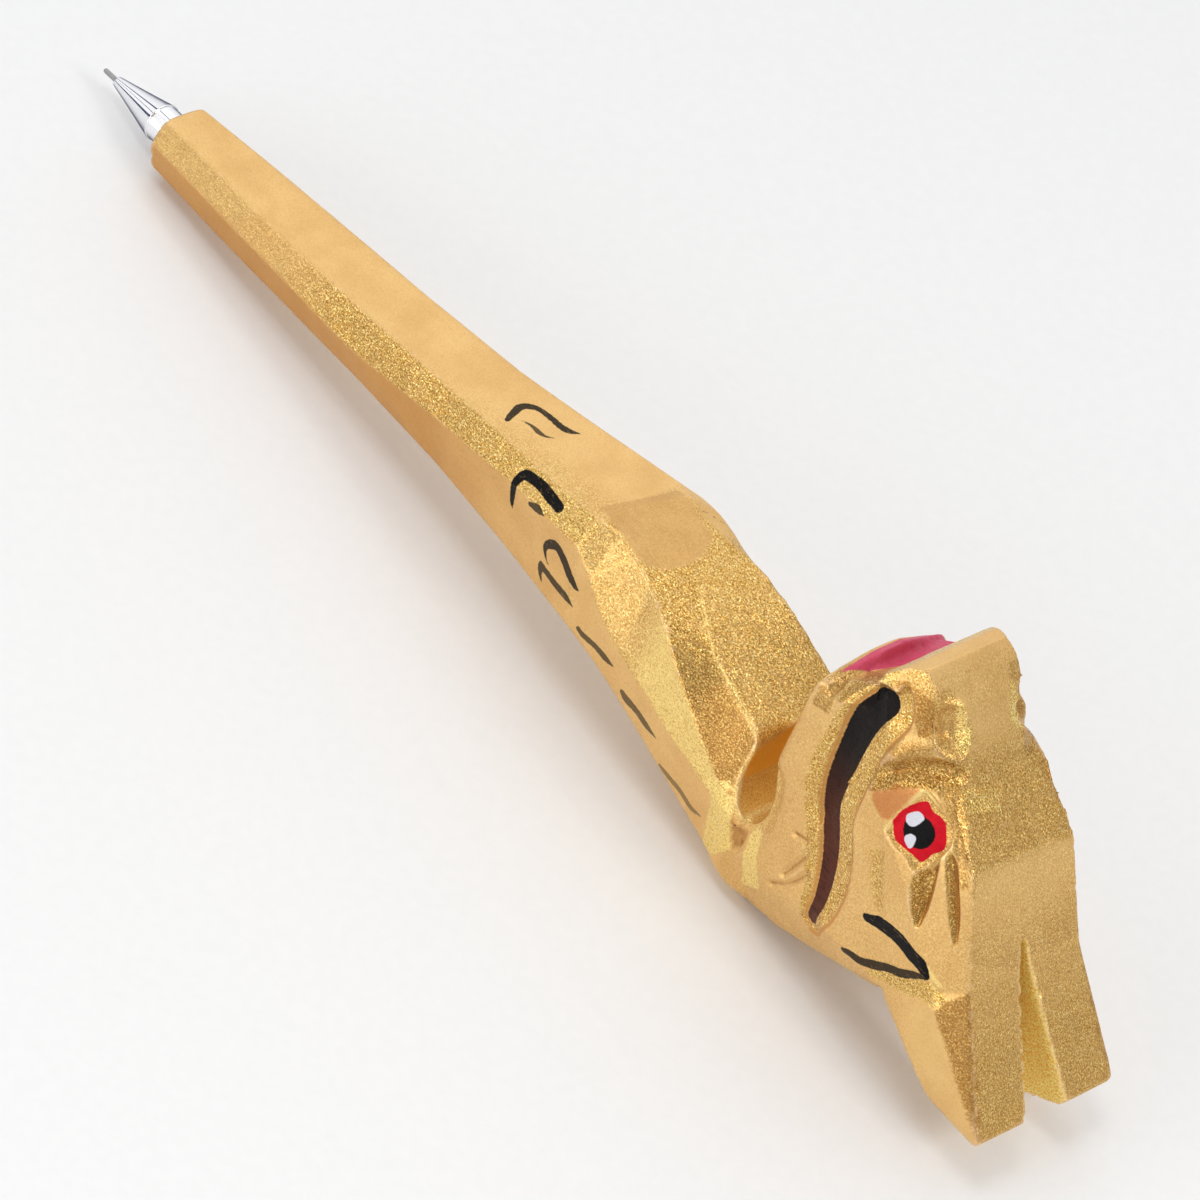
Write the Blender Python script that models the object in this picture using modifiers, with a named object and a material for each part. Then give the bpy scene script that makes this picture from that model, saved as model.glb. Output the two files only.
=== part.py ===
"""Hand-carved wooden pen: a whittled octagonal shaft that bends back into a
neck and ends in a horned dragon head, with a push-in needle-point refill.

All shaping is done in pen coordinates (millimetres):
  u  along the writing axis, 0 at the very tip, growing towards the head
  y  sideways, the dragon's right is +
  w  to the front, the way the dragon looks
One empty, pen_frame, lays the finished pen on its back on the ground.
"""
import bpy
import bmesh
import math
from mathutils import Vector

MM = 0.001

# ---------------------------------------------------------------- dimensions
SHAFT_END_U = 14.85      # where the wood starts, seen from the writing tip
THROAT_U, THROAT_W = 131.3, -3.2   # centre of the gouged hollow behind the chin
THROAT_R = 3.0           # half its height along the pen
THROAT_STRETCH = 1.9     # how much deeper than high it is
BODY_HALF = 10.2         # half the thickness of the board the head is cut from

# whittled shaft: station, corner radius, corner angles from +y (degrees)
SHAFT = (
    (14.85, 4.55, (34, 56, 125, 166, 213, 260, 305, 346)),
    (35.0, 5.50, (35, 57, 133, 171, 215, 262, 313, 351)),
    (55.0, 6.20, (35, 57, 133, 176, 215, 262, 313, 356)),
    (72.0, 7.10, (35, 57, 130, 160, 215, 260, 310, 340)),
    (86.0, 8.60, (36, 57, 129, 151, 213, 250, 309, 333)),
    (98.5, 10.2, (36, 58, 128, 150, 212, 242, 308, 330)),
)
# neck: station, then far-side and near-side corners (y, w) from the front
# ridge round to the back
NECK = (
    (101.3, ((4.3, 9.4), (6.5, 8.1), (8.6, 4.3), (8.7, -6.0), (5.4, -9.2)),          # shoulder facet starts
     ((-1.7, 8.2), (-5.4, 7.6), (-8.9, 2.8), (-8.6, -6.2), (-4.7, -9.7))),
    (104.3, ((3.6, 8.9), (6.3, 8.3), (9.0, 2.5), (8.6, -7.0), (4.6, -10.4)),
     ((-1.5, 7.8), (-5.8, 6.9), (-9.0, -0.4), (-8.6, -7.0), (-4.6, -10.4))),
    (108.3, ((4.1, 8.3), (6.0, 7.5), (9.2, -1.7), (8.6, -8.5), (4.8, -11.8)),         # and ends
     ((0.0, 7.45), (-6.3, 5.6), (-9.1, -2.6), (-8.6, -8.5), (-4.8, -11.8))),
    (113.0, ((5.0, 7.6), (7.1, 4.1), (9.2, -4.3), (8.5, -10.6), (4.9, -13.9)),
     ((-3.0, 5.9), (-7.8, 4.1), (-9.2, -4.2), (-8.5, -10.6), (-4.9, -13.9))),
    (118.0, ((5.0, 6.5), (7.5, 1.0), (9.2, -6.2), (8.4, -12.9), (5.0, -16.2)),
     ((-5.0, 3.2), (-8.6, -0.3), (-9.3, -6.3), (-8.4, -12.9), (-5.0, -16.2))),
    (125.5, ((5.2, 3.0), (7.8, -2.5), (9.2, -8.6), (8.3, -16.6), (5.6, -19.3)),
     ((-5.5, 0.2), (-8.9, -6.3), (-9.3, -8.7), (-8.3, -16.6), (-5.6, -19.3))),
    (129.3, ((5.4, 0.8), (7.9, -5.0), (9.2, -9.8), (8.4, -19.0), (6.0, -20.9)),
     ((-6.0, -0.4), (-9.0, -8.2), (-9.3, -9.6), (-8.4, -19.0), (-6.0, -20.9))),
    (133.0, ((5.4, -9.0), (7.9, -9.8), (9.0, -11.2), (8.3, -18.8), (6.0, -20.9)),
     ((-6.9, -9.0), (-8.4, -9.8), (-9.0, -11.2), (-8.3, -18.8), (-6.0, -20.9))),
)

NECK_BEND_START, NECK_STEPS = 108.3, 4   # from here on the neck is cut in this many steps per station

# head, blocked out as convex chunks: (u, w, half thickness), or with the far
# and the near half given apart where the two sides were not cut alike
SKULL = (
    (166.2, -4.9, 8.0), (162.0, 7.4, 7.3), (155.3, 14.7, 7.0),      # brow to forehead
    (155.5, 3.0, 10.2), (162.6, -7.2, 10.2), (149.0, 9.0, 9.9),     # upper edge of the cheek
    (144.6, 12.5, 9.7), (143.4, 3.0, BODY_HALF), (144.9, -11.0, BODY_HALF),
    (156.0, -11.7, BODY_HALF), (153.6, -15.2, 7.5), (147.8, -16.4, 7.5),
    (142.0, -18.4, 7.5), (140.5, -4.0, 9.8), (141.0, 6.0, 9.0),
)
SNOUT = (
    (155.6, 14.3, 5.6), (151.4, 21.9, 5.1), (149.4, 23.6, 5.8), (147.2, 24.7, 5.8),   # top of the nose
    (145.2, 23.9, 6.6), (143.2, 21.9, 8.0),                         # upper lip
    (143.6, 11.0, 9.3), (146.2, 16.5, 9.3), (149.0, 10.0, 9.6), (152.5, 9.0, 8.2),
)
JAW = (
    (137.9, 18.3, 1.8), (137.2, 15.9, 8.4), (136.2, 17.3, 1.8),     # lower lip
    (135.9, 15.6, 0.0, 8.8), (135.9, 14.6, 8.2, 0.0),               # chin edge, cut lower on the far side
    (135.0, 5.0, 9.4),
    (134.4, -4.0, 9.5), (131.2, -12.5, 9.3), (142.3, 9.0, 9.2),
    (143.2, 1.0, 9.8), (144.9, -11.0, 10.0), (142.0, -18.4, 7.5),
    (137.8, -19.6, 7.2), (131.0, -21.2, 6.2), (129.8, -18.0, 8.2),
)
MOUTH = (                                                           # tongue and mouth corners
    (138.2, 16.6, 6.6), (142.9, 19.5, 6.8), (137.6, 14.4, 8.8), (143.8, 17.4, 8.9),
    (137.5, 9.0, 9.1), (144.5, 8.0, 9.5), (141.0, 3.0, 9.0),
)
BROW = (                                                            # roll across in front of the eye
    (145.0, 14.6, 9.3), (144.8, 12.0, 9.6), (150.0, 14.4, 9.2), (154.4, 14.4, 7.4),
    (155.3, 13.0, 7.7), (150.0, 9.0, 9.9), (152.5, 8.5, 9.3),
)
HORNS = (
    (166.2, -4.9, 8.0), (174.5, -19.5, 9.9), (173.7, -18.8, 10.2),  # front face, bevel
    (164.1, -8.2, 10.3), (156.0, -11.7, 10.2), (165.6, -19.7, 9.8),
    (173.8, -20.7, 9.6), (159.0, 2.0, 6.5), (154.0, -7.0, 8.0),
    (168.0, -23.6, 9.4, 0.0),                                       # right horn, cut longer at the back
)
SCOOPS = (                     # knife scoops along the edges of the nose, cut by eye: centre, radius, stretch
    ("right", (152.6, 6.9, 18.8), 3.0, 1.1),
    ("left", (153.1, -5.8, 20.1), 2.8, 1.4),
)
SCOOP_TILT = -29               # how the edge of the nose slopes
NOTCH_START = (164.2, -0.1)    # where the gap between the horns begins
NOTCH_END = (174.5, -19.5)     # horn ends, on the front face
NOTCH_END_HALF = 2.65
NOTCH_BACK = 0.45              # the gap narrows towards the back to this share

# refill
BALL_R = 0.25
NEEDLE_R, NEEDLE_CHANNEL_R, NEEDLE_END_U = 0.32, 0.15, 7.0
CONE_MOUTH_U, CONE_MOUTH_R = 2.60, 0.68
CONE_BASE_U, CONE_BASE_R = 11.40, 2.46
COLLAR_END_U, COLLAR_R = 14.55, 2.32      # short collar between the cone and the wood
SHANK_R, SHANK_END_U = 2.00, 23.0
SOCKET_R, SOCKET_START_U = 1.32, 9.0
PLUG_R, PLUG_TAIL_R, PLUG_HOLE_R, PLUG_END_U = 1.30, 1.06, 0.45, 29.5
TUBE_R, TUBE_BORE_R, TUBE_START_U, TUBE_END_U = 1.50, 1.10, 24.4, 103.6
INK_START_U, INK_END_U = 29.7, 87.6
GREASE_START_U, GREASE_END_U = 87.8, 92.0
FILL_R = 1.07
BORE_FRONT_R, BORE_STEP_U = 2.06, 24.8
BORE_R, BORE_END_U = 1.60, 105.4

# the two places the pen lies on: the back of the shaft end and the nape
REST_SHAFT = (14.85, -4.48)
REST_NAPE = (131.25, -21.2)
PITCH = math.atan2(REST_SHAFT[1] - REST_NAPE[1], REST_NAPE[0] - REST_SHAFT[0])

# ---------------------------------------------------------------- clean start
for ob in list(bpy.data.objects):
    bpy.data.objects.remove(ob, do_unlink=True)

parts = bpy.data.collections.new("carved_wooden_pen")
shapers = bpy.data.collections.new("shapers")
bpy.context.scene.collection.children.link(parts)
bpy.context.scene.collection.children.link(shapers)

frame = bpy.data.objects.new("pen_frame", None)
parts.objects.link(frame)


# ---------------------------------------------------------------- materials
def material(name, colour, roughness, metallic, transmission=0.0):
    mat = bpy.data.materials.new(name)
    mat.use_nodes = True
    bsdf = mat.node_tree.nodes["Principled BSDF"]
    bsdf.inputs["Base Color"].default_value = (*colour, 1.0)
    bsdf.inputs["Roughness"].default_value = roughness
    bsdf.inputs["Metallic"].default_value = metallic
    bsdf.inputs["Transmission Weight"].default_value = transmission
    return mat


GOLD_PAINT = material("gold_painted_wood", (0.62, 0.38, 0.13), 0.45, 0.35)
PLATED = material("plated_cone", (0.80, 0.82, 0.84), 0.12, 1.0)
STEEL = material("needle_steel", (0.55, 0.55, 0.56), 0.30, 1.0)
CARBIDE = material("ball_carbide", (0.30, 0.30, 0.31), 0.20, 1.0)
PLUG_PLASTIC = material("plug_plastic", (0.85, 0.85, 0.82), 0.40, 0.0)
TUBE_PLASTIC = material("tube_plastic", (0.86, 0.88, 0.88), 0.30, 0.0, 0.6)
INK = material("gel_ink", (0.01, 0.01, 0.012), 0.25, 0.0)
GREASE = material("follower_grease", (0.75, 0.70, 0.52), 0.35, 0.0, 0.3)


# ---------------------------------------------------------------- helpers
def node(name, mesh, mat, smooth=False):
    ob = bpy.data.objects.new(name, mesh)
    parts.objects.link(ob)
    ob.parent = frame
    mesh.materials.append(mat)
    if smooth:
        mesh.shade_smooth()
        mesh.set_sharp_from_angle(angle=math.radians(35))
    return ob


def shaper(name, mesh):
    ob = bpy.data.objects.new(name, mesh)
    shapers.objects.link(ob)
    ob.parent = frame
    ob.hide_render = True
    ob.display_type = 'WIRE'
    return ob


def both_sides(points):
    """Points (u, w, half thickness) put on both sides of the pen's middle plane."""
    for u, w, *half in points:
        yield Vector((u, half[0], w)) * MM
        yield Vector((u, -half[-1], w)) * MM


def chunk(name, points):
    """Convex chunk with the given corners, its flats as a knife leaves them."""
    bm = bmesh.new()
    for p in both_sides(points):
        bm.verts.new(p)
    made = bmesh.ops.convex_hull(bm, input=list(bm.verts))
    bmesh.ops.delete(bm, geom=[g for g in made["geom_interior"] if isinstance(g, bmesh.types.BMVert)], context='VERTS')
    bmesh.ops.recalc_face_normals(bm, faces=list(bm.faces))
    mesh = bpy.data.meshes.new(name)
    bm.to_mesh(mesh)
    bm.free()
    return shaper(name, mesh)


def loft(name, sections):
    """Closed skin through sections of equal corner count, ends capped."""
    bm = bmesh.new()
    rings = [[bm.verts.new(Vector((u, y, w)) * MM) for y, w in ring] for u, ring in sections]
    for a, b in zip(rings[:-1], rings[1:]):
        for i in range(len(a)):
            j = (i + 1) % len(a)
            bm.faces.new((a[i], a[j], b[j], b[i]))
    bm.faces.new(rings[0])
    bm.faces.new(rings[-1])
    bmesh.ops.triangulate(bm, faces=list(bm.faces))
    bmesh.ops.recalc_face_normals(bm, faces=list(bm.faces))
    mesh = bpy.data.meshes.new(name)
    bm.to_mesh(mesh)
    bm.free()
    return mesh


def rod(name, radius, start_u, end_u, sides=32):
    """Plain round rod on the writing axis."""
    bm = bmesh.new()
    bmesh.ops.create_cone(bm, cap_ends=True, segments=sides, radius1=radius * MM,
                          radius2=radius * MM, depth=(end_u - start_u) * MM)
    mesh = bpy.data.meshes.new(name)
    bm.to_mesh(mesh)
    bm.free()
    return mesh


def on_axis(ob, u=0.0):
    """Turned pieces are made along local Z: lay that axis along the pen."""
    ob.location = Vector((u, 0.0, 0.0)) * MM
    ob.rotation_euler = (0.0, math.radians(90), 0.0)
    return ob


def turned(name, profile, mat, steps=40):
    """Ring turned from a closed outline of (radius, u), outer side first."""
    mesh = bpy.data.meshes.new(name)
    points = [Vector((r, 0.0, u)) * MM for r, u in profile]
    count = len(points)
    mesh.from_pydata(points, [(i, (i + 1) % count) for i in range(count)], [])
    ob = node(name, mesh, mat)
    on_axis(ob)
    screw = ob.modifiers.new("turn", 'SCREW')
    screw.axis = 'Z'
    screw.steps = steps
    screw.render_steps = steps
    screw.use_merge_vertices = True
    screw.merge_threshold = 1e-7
    screw.use_smooth_shade = True
    return ob


def combine(ob, other, operation):
    mod = ob.modifiers.new(other.name, 'BOOLEAN')
    mod.operation = operation
    mod.solver = 'EXACT'
    mod.object = other


# ---------------------------------------------------------------- carved body
def polar(radius, degrees):
    a = math.radians(degrees)
    return radius * math.cos(a), radius * math.sin(a)


def between(p, q, share):
    return p[0] + (q[0] - p[0]) * share, p[1] + (q[1] - p[1]) * share


sections = []
for u, radius, angles in SHAFT:
    c = [polar(radius, a) for a in angles]
    far = (c[1], between(c[1], c[0], 0.5), c[0], c[7], c[6])
    near = (between(c[2], c[1], 0.4), c[2], c[3], c[4], c[5])
    sections.append((u, list(near) + list(reversed(far))))
neck = [(u, list(near) + list(reversed(far))) for u, far, near in NECK]


def bent(before, a, b, after, share):
    """Section part of the way from a to b, on a smooth curve through all four."""
    def blend(p, q, r, s):
        t = share
        return 0.5 * (2 * q + (r - p) * t + (2 * p - 5 * q + 4 * r - s) * t ** 2 + (3 * q - p - 3 * r + s) * t ** 3)

    ring = [tuple(blend(*corner) for corner in zip(p, q, r, s))
            for p, q, r, s in zip(before[1], a[1], b[1], after[1])]
    return blend(before[0], a[0], b[0], after[0]), ring


def carried_on(a, b):
    """The section that follows a and b if the neck goes on straight."""
    return 2 * b[0] - a[0], [(2 * q[0] - p[0], 2 * q[1] - p[1]) for p, q in zip(a[1], b[1])]


# the shoulder is cut flat, and below it the neck bends smoothly to the nape
for i, (u, ring) in enumerate(neck):
    sections.append((u, ring))
    if NECK_BEND_START <= u and i + 2 < len(neck):
        straight = i + 3 >= len(neck)
        after = carried_on(neck[i], neck[i + 1]) if straight else neck[i + 2]
        for k in range(1, NECK_STEPS):
            sections.append(bent(neck[i - 1], neck[i], neck[i + 1], after, k / NECK_STEPS))

body = node("carved_body", loft("carved_body", sections), GOLD_PAINT)
for name, points in (("skull", SKULL), ("snout", SNOUT), ("jaw", JAW), ("mouth", MOUTH),
                     ("brow", BROW), ("horn_block", HORNS)):
    combine(body, chunk(name, points), 'UNION')

# scoops cut along both edges of the nose
for label, centre, radius, stretch in SCOOPS:
    bm = bmesh.new()
    bmesh.ops.create_icosphere(bm, subdivisions=2, radius=radius * MM)
    mesh = bpy.data.meshes.new("scoop_" + label)
    bm.to_mesh(mesh)
    bm.free()
    scoop = shaper("scoop_" + label, mesh)
    scoop.location = Vector(centre) * MM
    scoop.rotation_euler = (0.0, math.radians(SCOOP_TILT), 0.0)
    scoop.scale = (1.0, 1.0, stretch)
    combine(body, scoop, 'DIFFERENCE')

# gap between the horns: a wedge cut from the front face right through
run = Vector((NOTCH_END[0] - NOTCH_START[0], 0.0, NOTCH_END[1] - NOTCH_START[1]))
out = Vector((-run.z, 0.0, run.x)).normalized()
start = Vector((NOTCH_START[0], 0.0, NOTCH_START[1]))
bm = bmesh.new()
for lift in (4.0, -26.0):
    wide = 1.0 + (1.0 - NOTCH_BACK) * lift / 20.0
    for along, half in ((0.0, 0.02), (1.5, NOTCH_END_HALF * 1.5)):
        for side in (1, -1):
            bm.verts.new((start + run * along + out * lift + Vector((0.0, side * half * wide, 0.0))) * MM)
bmesh.ops.convex_hull(bm, input=list(bm.verts))
bmesh.ops.recalc_face_normals(bm, faces=list(bm.faces))
mesh = bpy.data.meshes.new("horn_gap")
bm.to_mesh(mesh)
bm.free()
combine(body, shaper("horn_gap", mesh), 'DIFFERENCE')

# gouged hollow between chin and neck, straight across
bm = bmesh.new()
bmesh.ops.create_cone(bm, cap_ends=True, segments=28, radius1=THROAT_R * MM,
                      radius2=THROAT_R * MM, depth=30 * MM)
mesh = bpy.data.meshes.new("throat_gouge")
bm.to_mesh(mesh)
bm.free()
gouge = shaper("throat_gouge", mesh)
gouge.location = Vector((THROAT_U, 0.0, THROAT_W)) * MM
gouge.rotation_euler = (math.radians(90), 0.0, 0.0)
gouge.scale = (1.0, THROAT_STRETCH, 1.0)
combine(body, gouge, 'DIFFERENCE')

# stepped bore for the refill, drilled from the shaft end
for name, radius, first, last in (("bore_front", BORE_FRONT_R, SHAFT_END_U - 4.0, BORE_STEP_U),
                                  ("bore_deep", BORE_R, SHAFT_END_U - 4.0, BORE_END_U)):
    drill = on_axis(shaper(name, rod(name, radius, first, last)), (first + last) / 2)
    combine(body, drill, 'DIFFERENCE')

# ---------------------------------------------------------------- refill
turned("nose_cone", (
    (SHANK_R, SHANK_END_U), (SHANK_R, COLLAR_END_U), (COLLAR_R, COLLAR_END_U),
    (COLLAR_R, CONE_BASE_U + 0.12), (CONE_BASE_R, CONE_BASE_U), (CONE_BASE_R, CONE_BASE_U - 0.15),
    (CONE_MOUTH_R, CONE_MOUTH_U + 0.10), (CONE_MOUTH_R - 0.12, CONE_MOUTH_U), (NEEDLE_R + 0.02, CONE_MOUTH_U),
    (NEEDLE_R + 0.02, NEEDLE_END_U), (SOCKET_R, SOCKET_START_U), (SOCKET_R, SHANK_END_U)), PLATED)

turned("needle_tube", (
    (NEEDLE_R, NEEDLE_END_U - 0.1), (NEEDLE_R, 0.38), (NEEDLE_R - 0.035, 0.12), (BALL_R - 0.0245, 0.12),
    (BALL_R + 0.012, 0.20), (BALL_R + 0.012, 2 * BALL_R + 0.01), (NEEDLE_CHANNEL_R, 2 * BALL_R + 0.12),
    (NEEDLE_CHANNEL_R, NEEDLE_END_U - 0.1)), STEEL, 28)

bm = bmesh.new()
bmesh.ops.create_uvsphere(bm, u_segments=20, v_segments=12, radius=BALL_R * MM)
mesh = bpy.data.meshes.new("writing_ball")
bm.to_mesh(mesh)
bm.free()
on_axis(node("writing_ball", mesh, CARBIDE, smooth=True), BALL_R)

turned("refill_plug", (
    (PLUG_TAIL_R, PLUG_END_U), (PLUG_TAIL_R, TUBE_START_U - 0.15), (SHANK_R - 0.05, TUBE_START_U - 0.15),
    (SHANK_R - 0.05, SHANK_END_U + 0.1), (PLUG_R, SHANK_END_U + 0.1), (PLUG_R, SOCKET_START_U + 1.0),
    (PLUG_HOLE_R, SOCKET_START_U + 1.0), (PLUG_HOLE_R, PLUG_END_U)), PLUG_PLASTIC)

turned("ink_tube", (
    (TUBE_R, TUBE_END_U), (TUBE_R, TUBE_START_U), (TUBE_BORE_R, TUBE_START_U),
    (TUBE_BORE_R, TUBE_END_U)), TUBE_PLASTIC)

ink = node("ink_column", rod("ink_column", FILL_R, INK_START_U, INK_END_U, 40), INK, smooth=True)
on_axis(ink, (INK_START_U + INK_END_U) / 2)
grease = node("grease_follower", rod("grease_follower", FILL_R, GREASE_START_U, GREASE_END_U, 40), GREASE, smooth=True)
on_axis(grease, (GREASE_START_U + GREASE_END_U) / 2)

# ---------------------------------------------------------------- lay it down
frame.rotation_euler = (0.0, -PITCH, 0.0)
bpy.context.view_layer.update()
graph = bpy.context.evaluated_depsgraph_get()
low, high = Vector((1e9,) * 3), Vector((-1e9,) * 3)
for ob in parts.objects:
    if ob.type != 'MESH':
        continue
    shape = ob.evaluated_get(graph).to_mesh()
    for v in shape.vertices:
        p = ob.matrix_world @ v.co
        low = Vector(map(min, low, p))
        high = Vector(map(max, high, p))
frame.location = (-(low.x + high.x) / 2, -(low.y + high.y) / 2, -low.z)
bpy.context.view_layer.update()
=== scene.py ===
"""Looks of the carved wooden pen.

The wooden body is recut finer than its construction solid: the skin is remeshed
closely, the mouth, eyes, brows and knife cuts are carved into it, and every
painted mark is kept on it as a distance in millimetres that the paint reads.

Carving and painting use pen coordinates, in millimetres:
  u  along the writing axis, 0 at the tip    y  sideways    w  to the front
Features of the head are given for one side and mirrored on the other.
"""

import math

import bmesh
import bpy
import numpy as np
from mathutils import Matrix, Vector, noise
from mathutils.bvhtree import BVHTree
from mathutils.kdtree import KDTree


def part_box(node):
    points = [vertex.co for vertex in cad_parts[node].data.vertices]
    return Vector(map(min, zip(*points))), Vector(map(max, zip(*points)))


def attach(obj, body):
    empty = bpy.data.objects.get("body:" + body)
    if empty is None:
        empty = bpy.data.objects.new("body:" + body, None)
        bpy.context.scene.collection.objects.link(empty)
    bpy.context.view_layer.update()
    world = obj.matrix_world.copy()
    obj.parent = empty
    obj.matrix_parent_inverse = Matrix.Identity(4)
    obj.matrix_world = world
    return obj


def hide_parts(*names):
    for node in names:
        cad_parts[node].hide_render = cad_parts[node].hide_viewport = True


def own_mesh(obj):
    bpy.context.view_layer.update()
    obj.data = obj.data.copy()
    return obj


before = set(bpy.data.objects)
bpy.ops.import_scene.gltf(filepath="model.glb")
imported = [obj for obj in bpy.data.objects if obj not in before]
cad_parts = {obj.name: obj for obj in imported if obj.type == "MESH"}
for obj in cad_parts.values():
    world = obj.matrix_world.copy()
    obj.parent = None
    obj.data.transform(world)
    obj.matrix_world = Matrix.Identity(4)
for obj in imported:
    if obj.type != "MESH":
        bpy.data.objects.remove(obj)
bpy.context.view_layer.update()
scene = bpy.context.scene
MM = 0.001

# ------------------------------------------------------------------ pen frame
PITCH = math.atan2(21.2 - 4.48, 131.25 - 14.85)
EU = np.array((math.cos(PITCH), 0.0, math.sin(PITCH)))
EY = np.array((0.0, 1.0, 0.0))
EW = np.array((-math.sin(PITCH), 0.0, math.cos(PITCH)))
AXES = np.stack((EU, EY, EW))
BALL_R = 0.25
low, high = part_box("writing_ball")
TIP = np.array((low + high) / 2) / MM - BALL_R * EU


def to_pen(world):
    return (np.asarray(world, float) / MM - TIP) @ AXES.T


def to_world(pen):
    return (np.asarray(pen, float) @ AXES + TIP) * MM


# ------------------------------------------------------------------ camera
def make_camera():
    """At the photograph's viewing angle, looking down on the pen from its left."""
    data = bpy.data.cameras.new("camera")
    data.sensor_width = 36.0
    data.lens = 195.0
    data.clip_start = 0.01
    data.clip_end = 20.0
    ob = bpy.data.objects.new("camera", data)
    scene.collection.objects.link(ob)
    right = Vector((0.59674585, 0.75699948, 0.26616946))
    up = Vector((-0.68913512, 0.31354562, 0.65328549))
    back = Vector((0.41108051, -0.57327213, 0.70878197))
    turn = Matrix((right, up, back)).transposed().to_4x4()
    ob.matrix_world = Matrix.Translation((0.3066815, -0.4162382, 0.5221058)) @ turn
    scene.camera = ob


make_camera()


# ------------------------------------------------------------------ distances
def ease(a, b, x):
    t = np.clip((x - a) / (b - a), 0.0, 1.0)
    return t * t * (3.0 - 2.0 * t)


def curve(points, per=8, closed=False):
    """A smooth curve through the given points; every column is carried along."""
    p = np.array(points, float)
    if closed:
        ext = np.vstack((p[-1:], p, p[:2]))
        spans = len(p)
    else:
        ext = np.vstack((2 * p[0] - p[1], p, 2 * p[-1] - p[-2]))
        spans = len(p) - 1
    out = []
    for i in range(spans):
        a, b, c, d = ext[i:i + 4]
        for t in np.arange(per) / per:
            out.append(0.5 * (2 * b + (c - a) * t + (2 * a - 5 * b + 4 * c - d) * t ** 2
                              + (3 * b - a - 3 * c + d) * t ** 3))
    if not closed:
        out.append(p[-1])
    return np.array(out)


def to_line(p, line):
    """Distance to a bent line, the index along it of the nearest spot, and the side (flat lines only)."""
    best = np.full(len(p), 1e9)
    index = np.zeros(len(p))
    side = np.zeros(len(p))
    for i in range(len(line) - 1):
        d = line[i + 1] - line[i]
        t = np.clip((p - line[i]) @ d / max(d @ d, 1e-12), 0.0, 1.0)
        gap = p - line[i] - t[:, None] * d
        dist = np.sqrt((gap ** 2).sum(1))
        near = dist < best
        best[near] = dist[near]
        index[near] = i + t[near]
        if p.shape[1] == 2:
            side[near] = np.sign(d[0] * gap[near, 1] - d[1] * gap[near, 0])
    return best, index, side


def pick(values, index):
    """Value at a broken index along a list."""
    return np.interp(index, np.arange(len(values)), values)


def to_outline(p, outline):
    """Signed distance to a closed flat outline, negative inside."""
    o = np.array(outline, float)
    dist = to_line(p, np.vstack((o, o[:1])))[0]
    inside = np.zeros(len(p), bool)
    for a, b in zip(o, np.roll(o, 1, axis=0)):
        if a[1] != b[1]:
            inside ^= ((a[1] > p[:, 1]) != (b[1] > p[:, 1])) & (
                p[:, 0] < (b[0] - a[0]) * (p[:, 1] - a[1]) / (b[1] - a[1]) + a[0])
    return np.where(inside, -dist, dist)


# ------------------------------------------------------------------ features
# mouth groove: u, w, half width of the painted floor, flanks towards the jaw
# and towards the cheek, depth
MOUTH = np.array((
    (144.6, 18.8, 1.70, 0.8, 2.4, 1.15),
    (143.0, 15.2, 1.85, 1.1, 2.8, 1.20),
    (142.3, 10.0, 1.80, 1.6, 3.1, 1.15),
    (142.1, 4.3, 1.55, 2.1, 3.2, 1.10),
    (143.8, -1.0, 1.30, 2.1, 3.1, 1.00),
    (144.6, -4.9, 1.10, 2.0, 2.9, 0.85),
    (144.8, -8.5, 0.90, 1.6, 2.3, 0.65),
    (144.2, -12.2, 0.70, 1.0, 1.4, 0.40),
))
SOCKET = ((150.8, 7.0), (151.3, 8.5), (152.0, 10.6), (153.0, 13.5), (154.7, 13.1), (156.4, 12.1),
          (157.5, 11.1), (158.2, 9.1), (157.4, 7.2), (156.0, 4.8), (154.4, 5.6), (152.6, 6.0))
RIMS = (((150.9, 6.9), (151.3, 8.4), (152.0, 10.7), (153.0, 13.4)),
        ((153.0, 13.4), (154.9, 12.6), (157.0, 11.5), (158.1, 9.8), (157.8, 7.6), (156.9, 5.6)))
EYE_RED = ((151.3, 8.0), (151.6, 9.6), (152.4, 11.2), (153.6, 12.3), (154.6, 11.6), (156.0, 11.3),
           (156.8, 10.2), (157.4, 8.5), (156.6, 7.4), (156.3, 6.7), (155.8, 5.8), (154.4, 6.1),
           (152.5, 6.3), (151.7, 6.9))
PUPIL = (154.25, 8.75)
EYE_WHITES = (((152.3, 9.8), (153.3, 10.8), (154.2, 10.3), (153.5, 9.0), (152.6, 8.9)),
              ((153.1, 7.2), (153.5, 8.1), (154.3, 8.1), (154.4, 7.1), (154.0, 6.5)))
LEAVES = (((155.9, 4.2), (156.9, 7.2), (157.5, 8.2), (158.4, 5.4), (158.9, 1.7), (158.7, -0.9), (157.2, 0.5)),
          ((157.9, 8.9), (159.8, 7.8), (162.1, 3.2), (163.1, -0.6), (161.5, 1.5), (159.2, 5.9)))
SMUDGE = ((147.8, 10.0), (150.7, 12.5), (152.6, 13.2), (152.0, 11.2), (151.2, 8.3), (149.7, 8.0), (148.4, 8.6))
CUTS = (((139.0, -10.0), (140.9, -6.3), (142.3, -3.0)), ((137.5, -12.7), (140.4, -10.0), (142.6, -6.6)),
        ((139.2, -3.8), (141.0, -3.3)))
LEDGE = ((145.9, -9.8, 11.8), (147.7, -9.3, 14.4), (151.0, -8.0, 14.6), (155.4, -5.6, 14.5))
VALLEY = ((146.4, -9.8, 10.7), (148.9, -9.3, 13.4), (151.2, -7.6, 14.8), (153.4, -6.2, 15.8), (154.9, -4.9, 15.8))
CREST = ((147.6, -9.4, 13.4), (148.6, -9.0, 14.9), (150.0, -7.7, 16.6), (151.9, -5.5, 17.3), (153.6, -4.8, 17.0))
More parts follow.
